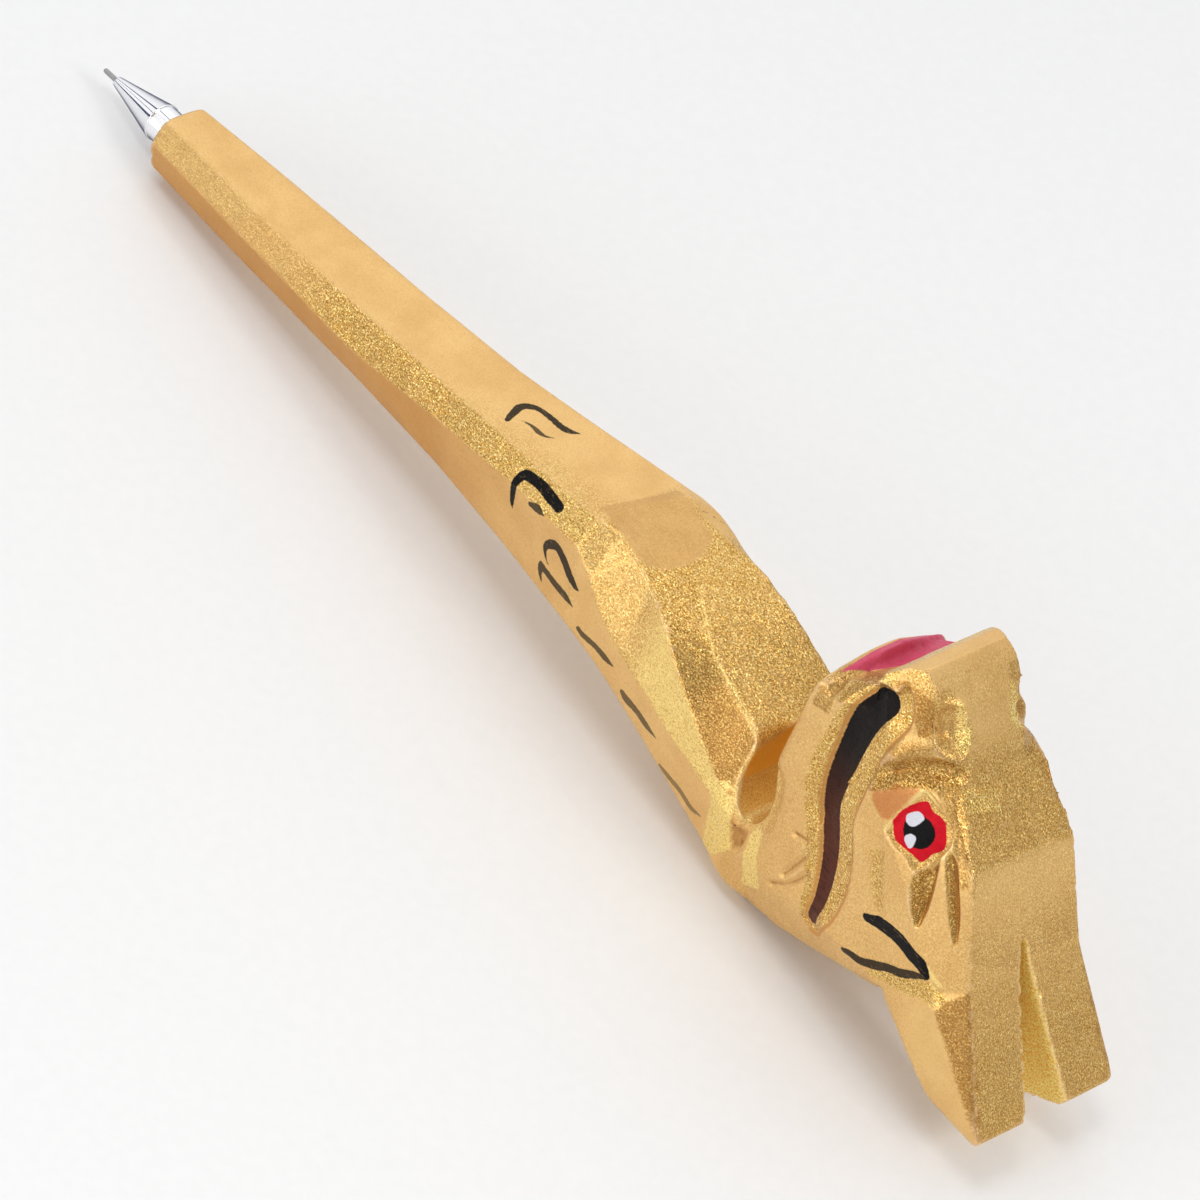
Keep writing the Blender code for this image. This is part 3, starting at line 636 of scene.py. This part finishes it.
    # painted light: the walls of the notch between the horns made very bright, for the light their shut-in hollow
    # misses
    lay(head * ease(162.5, 163.5, u) * (np.abs(y) < 3.4) * ease(0.5, 0.7, side), 1.9, 0.75)
    lay(head * ease(138.5, 139.5, u) * ease(142.2, 141.8, u) * ease(15.0, 16.0, w) * ease(-3.0, -4.5, y), -0.55, 0.9)
    lay(head * ease(141.7, 142.1, u) * ease(145.2, 144.8, u) * ease(18.4, 19.2, w) * ease(24.0, 23.5, w), 0.40, 1.0)
    lay(head * ease(144.5, 145.0, u) * ease(148.6, 147.6, u) * ease(22.6, 23.3, w), -0.05, 0.08)
    on = cheek.astype(float)
    flank = ((np.abs(y) > 4.5) & (np.abs(n[:, 1]) > 0.12) & (u > 124.0)).astype(float)
    for outline, tone, flake, amber in FACETS:
        lay(flank * inside_of(flat, outline), tone, flake, amber)
    socket = to_outline(flat, curve(SOCKET, 4, closed=True))
    lay(on * ease(0.1, -0.1, socket), -0.10, 0.75)
    for leaf in LEAVES:
        shape = curve(leaf, 3, closed=True)
        tip, root = shape[np.argmin(shape[:, 1])], shape[np.argmax(shape[:, 1])]
        way = tip - root
        right = np.sign(way[0] * (w - root[1]) - way[1] * (u - root[0]))
        cut = on * ease(0.05, -0.05, to_outline(flat, shape))
        # painted shade and light: each cut's two walls coloured apart, one darker and flaky, the other amber
        lay(cut * (right < 0), -0.62, 0.95)
        lay(cut * (right >= 0), -0.15, 0.35, 0.80)
    # painted highlight along the eye socket's rims
    for rim in RIMS:
        lay(on * np.exp(-(to_line(flat, curve(rim, 4))[0] / 0.28) ** 2), 1.0, 0.4)
    low = on * (~on_cheek)
    lay(low * ease(0.0, 0.05, past) * ease(jaw_width + 0.1, jaw_width - 0.1, past), -0.20, 0.9)
    lay(low * ease(-0.05, 0.05, past) * ease(0.42, 0.30, past), -0.20, 0.0, 0.80)
    high = on * on_cheek
    lay(high * ease(0.0, 0.05, past) * ease(cheek_width + 0.05, cheek_width - 0.05, past), -0.02, 0.9)
    lay(high * ease(cheek_width - 0.55, cheek_width - 0.45, past) * ease(cheek_width + 0.06, cheek_width - 0.04, past), -0.20, 0.0, 0.75)
    # painted shade: the brow's band and valley darkened; its crest and the knife cut beside it darker too
    for way in mirrored(BAND):
        lay(ease(1.1, 0.6, to_line(p, curve(way, 4))[0]), -0.85, 1.0)
    for way in mirrored(CREST):
        lay(ease(1.6, 0.4, to_line(p, curve(way, 4))[0]), -0.70, 0.60)
    for way in mirrored(VALLEY):
        lay(ease(1.5, 0.4, to_line(p, curve(way, 4))[0]), -0.68, 0.9)
    for way in mirrored(KNIFE):
        lay(ease(0.4, 0.1, to_line(p, curve(way, 4))[0]), -0.6, 0.3, 0.3)
    # the trough by the nose: its bed darker as painted shade, its wall bright as a painted highlight
    for way in mirrored(TROUGH_BED):
        lay(ease(1.5, 0.9, to_line(p, curve(way, 4))[0]), -0.40, 0.6)
    for way in mirrored(TROUGH):
        line = curve(way, 4)
        gap, at, _ = to_line(p, line)
        wide = np.interp(at / (len(line) - 1), (0.0, 0.6, 1.0), (0.35, 1.1, 0.5))
        lay(ease(0.12, -0.12, gap - wide), 0.62, 0.95)
    for way in mirrored(EDGE_STRIP):
        lay(ease(1.2, 0.5, to_line(p, curve(way, 4))[0]), -0.40, 0.8, 0.15)
    # painted light inside the throat hollow
    lay(ease(1.2, 1.0, throat) * ease(127.5, 128.5, u), 0.40, 0.45)
    bevel = on * ease(1.75, 1.65, np.hypot((u - 131.3) / 3.0, (w + 3.2) / 5.7)) * ease(130.6, 132.0, u) * ease(3.0, 0.0, w) * ease(-9.0, -7.5, w)
    lay(bevel, 0.20, 0.55)
    keep("tone", gold[:, 0])
    keep("flake", gold[:, 1])
    keep("amber", gold[:, 2])


# ------------------------------------------------------------------ material graphs
class Graph:
    """Small helper to write a node material as expressions."""

    def __init__(self, name):
        self.mat = bpy.data.materials.new(name)
        self.mat.use_nodes = True
        self.tree = self.mat.node_tree
        self.bsdf = self.tree.nodes["Principled BSDF"]

    def new(self, kind, inputs=(), **settings):
        node = self.tree.nodes.new(kind)
        for key, value in settings.items():
            setattr(node, key, value)
        for key, value in dict(inputs).items():
            self.put(node.inputs[key], value)
        return node

    def put(self, socket, value):
        if isinstance(value, bpy.types.NodeSocket):
            self.tree.links.new(value, socket)
        else:
            socket.default_value = value

    def attr(self, name):
        return self.new('ShaderNodeAttribute', attribute_name=name).outputs["Fac"]

    def math(self, op, a, b=0.0, clamp=False):
        return self.new('ShaderNodeMath', {0: a, 1: b}, operation=op, use_clamp=clamp).outputs[0]

    def vec(self, op, a, b=(0, 0, 0)):
        return self.new('ShaderNodeVectorMath', {0: a, 1: b}, operation=op).outputs[0]

    def scaled(self, a, s):
        node = self.new('ShaderNodeVectorMath', {0: a}, operation='SCALE')
        self.put(node.inputs["Scale"], s)
        return node.outputs[0]

    def span(self, x, a, b, lo=0.0, hi=1.0):
        return self.new('ShaderNodeMapRange', {0: x, 1: a, 2: b, 3: lo, 4: hi}, interpolation_type='SMOOTHSTEP').outputs[0]

    def mix(self, share, a, b, blend='MIX'):
        node = self.new('ShaderNodeMix', data_type='RGBA', blend_type=blend)
        self.put(node.inputs[0], share)
        self.put(node.inputs[6], a)
        self.put(node.inputs[7], b)
        return node.outputs[2]

    def coords(self, scale=(1, 1, 1)):
        place = self.new('ShaderNodeTexCoord').outputs["Object"]
        turn = self.new('ShaderNodeMapping', {"Vector": place, "Rotation": (0.0, PITCH, 0.0), "Scale": scale})
        return turn.outputs[0]

    def noise(self, vector, scale, detail=2.0, rough=0.5):
        return self.new('ShaderNodeTexNoise', {"Vector": vector, "Scale": scale, "Detail": detail, "Roughness": rough}).outputs["Fac"]

    def cells(self, vector, scale):
        return self.new('ShaderNodeTexVoronoi', {"Vector": vector, "Scale": scale, "Randomness": 1.0}, feature='F1').outputs["Color"]

    def set(self, **values):
        for key, value in values.items():
            self.put(self.bsdf.inputs[key.replace("_", " ")], value)


def rgb(r, g, b):
    """Colour given as seen on a screen."""
    return tuple((c / 255 / 12.92) if c / 255 <= 0.04045 else ((c / 255 + 0.055) / 1.055) ** 2.4 for c in (r, g, b)) + (1.0,)


def gold_paint():
    g = Graph("gold_painted_wood")
    place = g.coords((1000, 1000, 1000))              # millimetres
    along = g.coords((260, 1000, 1000))               # brushed out along the pen
    fine = g.coords((700, 1000, 1000))

    # metallic flakes: each lies its own way; much flake shows where the knife cut across the grain
    flake = g.cells(fine, 8.5)
    lie = g.vec('SUBTRACT', flake, (0.5, 0.5, 0.5))
    grit = g.noise(fine, 6.0, 2.0, 0.60)
    brush = g.noise(along, 1.6, 3.0, 0.6)
    grain = g.noise(g.coords((60, 1000, 1000)), 2.2, 2.0, 0.5)
    patch = g.noise(place, 0.16, 3.0, 0.55)
    clump = g.noise(place, 0.9, 3.0, 0.6)
    shown = g.math('MULTIPLY', g.attr("flake"), g.span(clump, 0.25, 0.60, 0.60, 1.0))
    relief = g.math('ADD', g.math('MULTIPLY', brush, 0.6), g.math('MULTIPLY', grain, 0.4))
    bump = g.new('ShaderNodeBump', {"Height": relief, "Strength": 0.35, "Distance": 0.00006})
    tilt = g.math('ADD', g.math('MULTIPLY', shown, 0.42), 0.05)
    normal = g.vec('NORMALIZE', g.vec('ADD', bump.outputs[0], g.scaled(lie, tilt)))

    # colour of the gold, thin over the worn edges, and darker in the creases as painted shade
    parts = g.new('ShaderNodeSeparateColor', {0: flake}).outputs
    smooth = g.mix(g.span(patch, 0.3, 0.7), rgb(226, 182, 118), rgb(236, 195, 130))
    smooth = g.mix(g.span(grit, 0.50, 0.38, 0.0, 0.14), smooth, rgb(186, 130, 60))
    leaf = g.mix(g.span(grit, 0.48, 0.37), rgb(210, 162, 74), rgb(148, 102, 42))
    leaf = g.mix(g.math('MULTIPLY', g.span(grit, 0.54, 0.61), g.span(parts[0], 0.2, 0.6, 0.5, 1.0)), leaf, rgb(255, 240, 168))
    gold = g.mix(shown, smooth, leaf)
    tone = g.math('ADD', g.attr("tone"), g.math('MULTIPLY', g.math('SUBTRACT', brush, 0.5), 0.35))
    tone = g.math('ADD', tone, g.math('MULTIPLY', g.math('SUBTRACT', clump, 0.5), g.math('MULTIPLY', shown, 0.9)))
    # the tone mixes towards brown and towards bright: the gold's own tone and, with it, the painted light and shade
    # laid on the mesh
    dark = g.mix(g.math('MULTIPLY', shown, g.span(grit, 0.53, 0.60)), rgb(136, 90, 38), rgb(226, 178, 92))
    bright = g.mix(g.math('MULTIPLY', shown, g.span(grit, 0.46, 0.37)), rgb(255, 230, 146), rgb(178, 126, 46))
    gold = g.mix(g.span(tone, 0.0, -1.0, 0.0, 0.70), gold, dark)
    gold = g.mix(g.span(tone, 0.0, 1.0, 0.0, 0.65), gold, bright)
    # painted light: brightest in the notch between the horns
    gold = g.mix(g.span(tone, 1.1, 1.8, 0.0, 1.0), gold, g.mix(g.span(grit, 0.55, 0.43), rgb(255, 240, 150), rgb(240, 180, 70)))
    gold = g.mix(g.math('MULTIPLY', g.attr("amber"), 0.85), gold, rgb(194, 126, 46))
    proud = g.math('ADD', g.attr("proud"), g.math('MULTIPLY', g.math('SUBTRACT', g.noise(place, 1.1, 3.0), 0.5), 0.05))
    gold = g.mix(g.span(proud, 0.04, 0.12, 0.0, 0.40), gold, rgb(246, 206, 156))
    # painted shade: darker brown in the creases
    gold = g.mix(g.span(proud, -0.05, -0.16, 0.0, 0.75), gold, rgb(140, 86, 30))
    # pale along the scratches, and along the eye's rims as a painted highlight
    scratch_and_rim_highlight = g.math('ADD', g.attr("scratch_and_rim_highlight"), g.math('MULTIPLY', g.math('SUBTRACT', grit, 0.4), 0.5))
    gold = g.mix(g.span(scratch_and_rim_highlight, 0.12, 0.04, 0.0, 0.75), gold, rgb(246, 212, 168))
    # painted light: bright amber in the throat hollow, fading where it faces the front
    throat = g.attr("throat")
    gold = g.mix(g.span(throat, 1.25, 0.95, 0.0, 0.80), gold, rgb(242, 182, 72))
    smudge = g.math('ADD', g.attr("smudge"), g.math('MULTIPLY', g.math('SUBTRACT', g.noise(place, 0.7, 3.0), 0.5), 1.6))
    gold = g.mix(g.span(smudge, 0.3, -0.5, 0.0, 0.6), gold, rgb(190, 96, 44))

    # brush paint: edges wander a little, and the gold shows through where it is thin
    wander = g.math('MULTIPLY', g.math('SUBTRACT', g.noise(place, 2.6, 3.0), 0.5), 0.22)
    streak = g.noise(along, 3.2, 2.0, 0.6)

    def inside(name, soft=0.06):
        return g.span(g.math('ADD', g.attr(name), wander), soft, -soft)

    colour = gold
    tongue = inside("tongue", 0.15)
    pink = g.mix(g.noise(place, 0.9, 3.0, 0.6), rgb(222, 92, 118), rgb(186, 60, 88))
    colour = g.mix(tongue, colour, pink)
    groove = inside("groove", 0.08)
    floor = g.mix(g.span(g.attr("groove_along"), 0.22, 0.62), rgb(18, 14, 13), rgb(84, 42, 28))
    floor = g.mix(g.span(streak, 0.45, 0.75, 0.0, 0.60), floor, rgb(30, 18, 14))
    colour = g.mix(groove, colour, floor)
    red = inside("eye_red")
    colour = g.mix(red, colour, g.mix(g.noise(place, 0.8), rgb(224, 14, 36), rgb(180, 8, 28)))
    pupil = inside("pupil")
    colour = g.mix(pupil, colour, rgb(10, 8, 8))
    white = inside("eye_white")
    colour = g.mix(white, colour, rgb(214, 214, 222))
    thin = g.math('MULTIPLY', g.attr("ink_cover"), g.span(streak, 0.20, 0.42, 0.78, 1.0))
    ink = g.math('MULTIPLY', inside("ink", 0.07), thin)
    colour = g.mix(ink, colour, g.mix(g.span(streak, 0.5, 0.8), rgb(12, 10, 10), rgb(34, 28, 28)))
    crack = g.span(g.math('ADD', g.attr("crack"), g.math('MULTIPLY', wander, 0.4)), 0.11, 0.05, 0.0, 0.85)
    colour = g.mix(crack, colour, rgb(96, 52, 24))
    colour = g.mix(g.attr("bare"), colour, g.mix(grain, rgb(196, 150, 104), rgb(150, 106, 66)))

    dull = g.math('MAXIMUM', g.math('MAXIMUM', g.math('MAXIMUM', groove, red), g.math('MAXIMUM', ink, tongue)),
                  g.math('MAXIMUM', g.math('MAXIMUM', pupil, white), g.attr("bare")))
    sheen = g.math('MULTIPLY', g.math('SUBTRACT', 1.0, dull), g.span(tone, 1.3, 1.8, 0.72, 0.05))
    g.set(Base_Color=colour, Normal=normal, Metallic=sheen,
          Roughness=g.math('SUBTRACT', g.span(brush, 0.2, 0.8, 0.40, 0.50), g.math('MULTIPLY', shown, 0.14)))
    g.bsdf.inputs["Specular IOR Level"].default_value = 0.1
    return g.mat


def plated():
    g = Graph("plated_cone")
    fine = g.noise(g.coords((4000, 4000, 4000)), 1.0, 2.0)
    g.set(Base_Color=g.mix(fine, rgb(250, 250, 252), rgb(242, 243, 247)), Metallic=1.0,
          Roughness=g.span(fine, 0.2, 0.8, 0.05, 0.11))
    g.bsdf.inputs["Specular Tint"].default_value = (0.03, 0.04, 0.11, 1.0)   # bright plating turns dark where it is seen edge on
    return g.mat


def steel():
    g = Graph("needle_steel")
    drawn = g.noise(g.coords((300, 9000, 9000)), 1.0, 3.0)
    bump = g.new('ShaderNodeBump', {"Height": drawn, "Strength": 0.2, "Distance": 0.000004})
    g.set(Base_Color=g.mix(drawn, rgb(176, 176, 174), rgb(138, 138, 136)), Metallic=1.0, Normal=bump.outputs[0],
          Roughness=g.span(drawn, 0.2, 0.8, 0.26, 0.40))
    return g.mat


def carbide():
    g = Graph("ball_carbide")
    ground = g.noise(g.coords((9000, 9000, 9000)), 1.0, 3.0)
    g.set(Base_Color=g.mix(ground, rgb(120, 120, 124), rgb(92, 92, 96)), Metallic=1.0,
          Roughness=g.span(ground, 0.2, 0.8, 0.16, 0.30))
    return g.mat


def plastic(name, a, b, rough, clear=0.0):
    g = Graph(name)
    cloud = g.noise(g.coords((500, 500, 500)), 1.0, 3.0)
    draw = g.noise(g.coords((120, 3000, 3000)), 1.0, 2.0)
    bump = g.new('ShaderNodeBump', {"Height": draw, "Strength": 0.15, "Distance": 0.00001})
    g.set(Base_Color=g.mix(cloud, a, b), Normal=bump.outputs[0],
          Roughness=g.span(draw, 0.2, 0.8, rough - 0.05, rough + 0.05))
    g.bsdf.inputs["Transmission Weight"].default_value = clear
    g.bsdf.inputs["IOR"].default_value = 1.49
    return g.mat


# ------------------------------------------------------------------ turned pieces
def turned(name, profile, mat, body, node, segments=96, sharp=35):
    """Piece turned about the writing axis from a closed outline of (u, radius)."""
    bm = bmesh.new()
    rings = []
    for u, r in profile:
        if r < 1e-6:
            rings.append([bm.verts.new(Vector(to_world((u, 0.0, 0.0))))])
            continue
        ring = []
        for k in range(segments):
            a = 2 * math.pi * k / segments
            ring.append(bm.verts.new(Vector(to_world((u, r * math.cos(a), r * math.sin(a))))))
        rings.append(ring)
    for a, b in zip(rings, rings[1:] + rings[:1]):
        for k in range(segments):
            m = (k + 1) % segments
            if len(a) == 1 and len(b) == 1:
                break
            if len(a) == 1:
                bm.faces.new((a[0], b[m], b[k]))
            elif len(b) == 1:
                bm.faces.new((a[k], a[m], b[0]))
            else:
                bm.faces.new((a[k], a[m], b[m], b[k]))
    bmesh.ops.recalc_face_normals(bm, faces=list(bm.faces))
    mesh = bpy.data.meshes.new(name)
    bm.to_mesh(mesh)
    bm.free()
    mesh.shade_smooth()
    mesh.set_sharp_from_angle(angle=math.radians(sharp))
    mesh.materials.append(mat)
    ob = bpy.data.objects.new(name, mesh)
    scene.collection.objects.link(ob)
    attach(ob, body)
    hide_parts(node)
    return ob


def make_refill():
    cone = [(23.0, 2.00), (14.75, 2.00), (14.62, 2.04), (14.55, 2.12), (14.55, 2.26), (14.50, 2.31), (14.42, 2.32),
            (11.60, 2.32), (11.53, 2.34), (11.48, 2.42), (11.42, 2.455), (11.32, 2.46), (11.24, 2.44)]
    for k in range(13):                                # flank of the cone, very slightly hollow
        t = k / 12
        cone.append((11.18 - (11.18 - 2.76) * t, 2.425 - (2.425 - 0.69) * t - 0.02 * math.sin(math.pi * t)))
    cone += [(2.70, 0.675), (2.63, 0.63), (2.60, 0.56), (2.60, 0.40), (2.66, 0.34), (7.0, 0.34), (9.0, 1.32), (23.0, 1.32)]
    turned("cone", cone, plated(), "refill", "nose_cone", 128)

    needle = [(6.9, 0.32), (0.55, 0.32)]
    for k in range(9):                                 # spun lip that holds the ball
        a = math.pi / 2 * k / 8
        needle.append((0.42 - 0.30 * math.sin(a), 0.2255 + 0.0945 * math.cos(a)))
    needle += [(0.20, 0.262), (0.51, 0.262), (0.62, 0.15), (6.9, 0.15)]
    turned("needle", needle, steel(), "refill", "needle_tube", 64)

    ball = [(BALL_R - BALL_R * math.cos(math.pi * k / 32), BALL_R * math.sin(math.pi * k / 32)) for k in range(33)]
    ball[0], ball[-1] = (0.0, 0.0), (2 * BALL_R, 0.0)
    turned("ball", ball, carbide(), "ball", "writing_ball", 48, 60)

    plug = [(29.5, 0.98), (29.3, 1.06)]
    for k in range(4):                                 # grip rings in the tube
        u = 28.6 - k * 1.0
        plug += [(u, 1.06), (u - 0.12, 1.00), (u - 0.30, 1.00), (u - 0.42, 1.06)]
    plug += [(24.25, 1.06), (24.25, 1.90), (24.20, 1.95), (23.15, 1.95), (23.10, 1.90), (23.10, 1.30),
             (10.2, 1.30), (10.0, 1.16), (10.0, 0.45), (29.5, 0.45)]
    turned("plug", plug, plastic("plug_plastic", rgb(238, 238, 232), rgb(226, 226, 218), 0.42), "refill", "refill_plug", 72)

    tube = [(103.6, 1.44), (103.52, 1.50), (24.48, 1.50), (24.40, 1.44), (24.40, 1.16), (24.46, 1.10), (103.54, 1.10), (103.6, 1.16)]
    clear = plastic("tube_plastic", rgb(236, 240, 240), rgb(226, 232, 232), 0.16, 0.9)
    turned("tube", tube, clear, "refill", "ink_tube", 72)

    column = [(29.7, 0.0), (29.7, 1.0), (29.78, 1.07)] + [(29.78 + (87.4 - 29.78) * k / 24, 1.07) for k in range(1, 25)]
    column += [(87.55, 1.04), (87.52, 0.8), (87.35, 0.4), (87.3, 0.0)]
    ink = turned("ink", column, plastic("gel_ink", rgb(14, 14, 16), rgb(22, 22, 26), 0.18), "refill", "ink_column", 64)
    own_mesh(ink)

    grease = [(87.8, 0.0), (87.82, 0.6), (87.95, 1.0), (88.05, 1.07), (91.75, 1.07), (91.95, 1.02), (91.9, 0.7), (91.7, 0.3), (91.65, 0.0)]
    turned("grease", grease, plastic("follower_grease", rgb(226, 214, 172), rgb(214, 198, 150), 0.25, 0.5), "follower", "grease_follower", 64)


# ------------------------------------------------------------------ studio
def make_studio():
    bm = bmesh.new()
    # level under the pen, and falling away gently past its tip, so that the refill has room when it is pulled out
    places = [-3.0, -0.5] + [-0.23 + 0.005 * k for k in range(33)] + [0.3, 3.0]
    rows = []
    for x in places:
        t = min(max((-0.070 - x) / 0.16, 0.0), 1.0)
        rows.append([bm.verts.new((x, y, -0.022 * t * t * (3.0 - 2.0 * t))) for y in (-3.0, 3.0)])
    for one, two in zip(rows, rows[1:]):
        bm.faces.new((one[0], two[0], two[1], one[1])).smooth = True
    mesh = bpy.data.meshes.new("floor")
    bm.to_mesh(mesh)
    bm.free()
    floor = bpy.data.objects.new("floor", mesh)
    scene.collection.objects.link(floor)
    floor.location = (0.0, 0.0, -0.0002)
    g = Graph("floor_paper")
    tooth = g.noise(g.coords((700, 700, 700)), 1.0, 3.0)
    g.set(Base_Color=g.mix(tooth, (0.90, 0.90, 0.90, 1), (0.86, 0.86, 0.86, 1)), Roughness=0.9)
    g.bsdf.inputs["Specular IOR Level"].default_value = 0.1
    mesh.materials.append(g.mat)

    def panel(name, direction, distance, size, power, colour=(1, 1, 1)):
        data = bpy.data.lights.new(name, 'AREA')
        data.shape = 'RECTANGLE'
        data.size, data.size_y = size
        data.energy = power
        data.color = colour
        ob = bpy.data.objects.new(name, data)
        scene.collection.objects.link(ob)
        way = Vector(direction).normalized()
        ob.location = Vector((0.0, 0.0, 0.02)) + way * distance
        ob.rotation_euler = way.to_track_quat('Z', 'Y').to_euler()

    panel("key", (-0.60, 0.10, 0.79), 0.9, (0.9, 0.9), 0.6)
    panel("left_fill", (-0.15, -0.95, 0.25), 0.9, (0.8, 0.5), 2.4)
    panel("front_glint", (0.75, 0.0, 0.66), 0.9, (0.26, 0.26), 2.0)
    panel("top_glint", (-0.05, -0.25, 0.97), 0.9, (0.26, 0.26), 1.1)

    world = bpy.data.worlds.new("studio")
    scene.world = world
    world.use_nodes = True
    tree = world.node_tree
    background = tree.nodes["Background"]
    place = tree.nodes.new('ShaderNodeTexCoord').outputs["Generated"]

    def span(value, start, end, lo, hi):
        node = tree.nodes.new('ShaderNodeMapRange')
        node.interpolation_type = 'SMOOTHSTEP'
        tree.links.new(value, node.inputs[0])
        for k, v in enumerate((start, end, lo, hi)):
            node.inputs[k + 1].default_value = v
        return node.outputs[0]

    def toward(direction):
        dot = tree.nodes.new('ShaderNodeVectorMath')
        dot.operation = 'DOT_PRODUCT'
        tree.links.new(place, dot.inputs[0])
        dot.inputs[1].default_value = Vector(direction).normalized()
        return dot.outputs["Value"]

    def times(a, b, op='MULTIPLY'):
        node = tree.nodes.new('ShaderNodeMath')
        node.operation = op
        for k, v in enumerate((a, b)):
            if isinstance(v, float):
                node.inputs[k].default_value = v
            else:
                tree.links.new(v, node.inputs[k])
        return node.outputs[0]

    # a white room, darker behind the camera and to the right
    level = times(span(toward((0.41, -0.57, 0.71)), 0.57, 0.91, 0.90, 0.36), span(toward((0.75, 0.5, 0.4)), 0.4, 0.95, 1.0, 0.62))
    # dim gaps on the left: where the walls meet the floor, and between two screens
    left = span(toward((1, 0, 0)), -0.30, -0.55, 0.0, 1.0)
    height = toward((0, 0, 1))
    skirting = times(times(span(height, -0.03, 0.0, 0.0, 1.0), span(height, 0.13, 0.09, 0.0, 1.0)),
                     times(left, span(toward((0, -1, 0)), 0.0, 0.2, 0.0, 1.0)))
    across = toward((0.02, -0.99, -0.142))

    def slit(middle, half):
        return times(times(span(across, middle - half, middle - 0.5 * half, 0.0, 1.0),
                           span(across, middle + half, middle + 0.5 * half, 0.0, 1.0)), left)

    gap = times(slit(-0.13, 0.060), slit(0.20, 0.022), 'MAXIMUM')
    dim = times(skirting, gap, 'MAXIMUM')
    level = times(times(level, span(left, 0.0, 1.0, 1.0, 1.16)), span(dim, 0.0, 1.0, 1.0, 0.12))
    path = tree.nodes.new('ShaderNodeLightPath')
    strength = tree.nodes.new('ShaderNodeMix')
    tree.links.new(path.outputs["Is Camera Ray"], strength.inputs[0])
    tree.links.new(level, strength.inputs[2])
    strength.inputs[3].default_value = 1.0
    tree.links.new(strength.outputs[0], background.inputs["Strength"])
    tint = tree.nodes.new('ShaderNodeMix')
    tint.data_type = 'RGBA'
    tree.links.new(dim, tint.inputs[0])
    tint.inputs[6].default_value = (1.0, 1.0, 1.0, 1.0)
    tint.inputs[7].default_value = (0.34, 0.44, 0.90, 1.0)
    tree.links.new(tint.outputs[2], background.inputs["Color"])
    scene.view_settings.view_transform = 'Standard'


# ------------------------------------------------------------------ build
body, points = fine_skin(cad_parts["carved_body"], 0.00038)
points = halve(body, points)
points, normal, facing, proud, skin = carve(body, points)
paint(body, points, normal, facing, proud, skin)
body.data.materials.clear()
body.data.materials.append(gold_paint())
body.data.shade_smooth()
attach(body, "body")
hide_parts("carved_body")
make_refill()
make_studio()
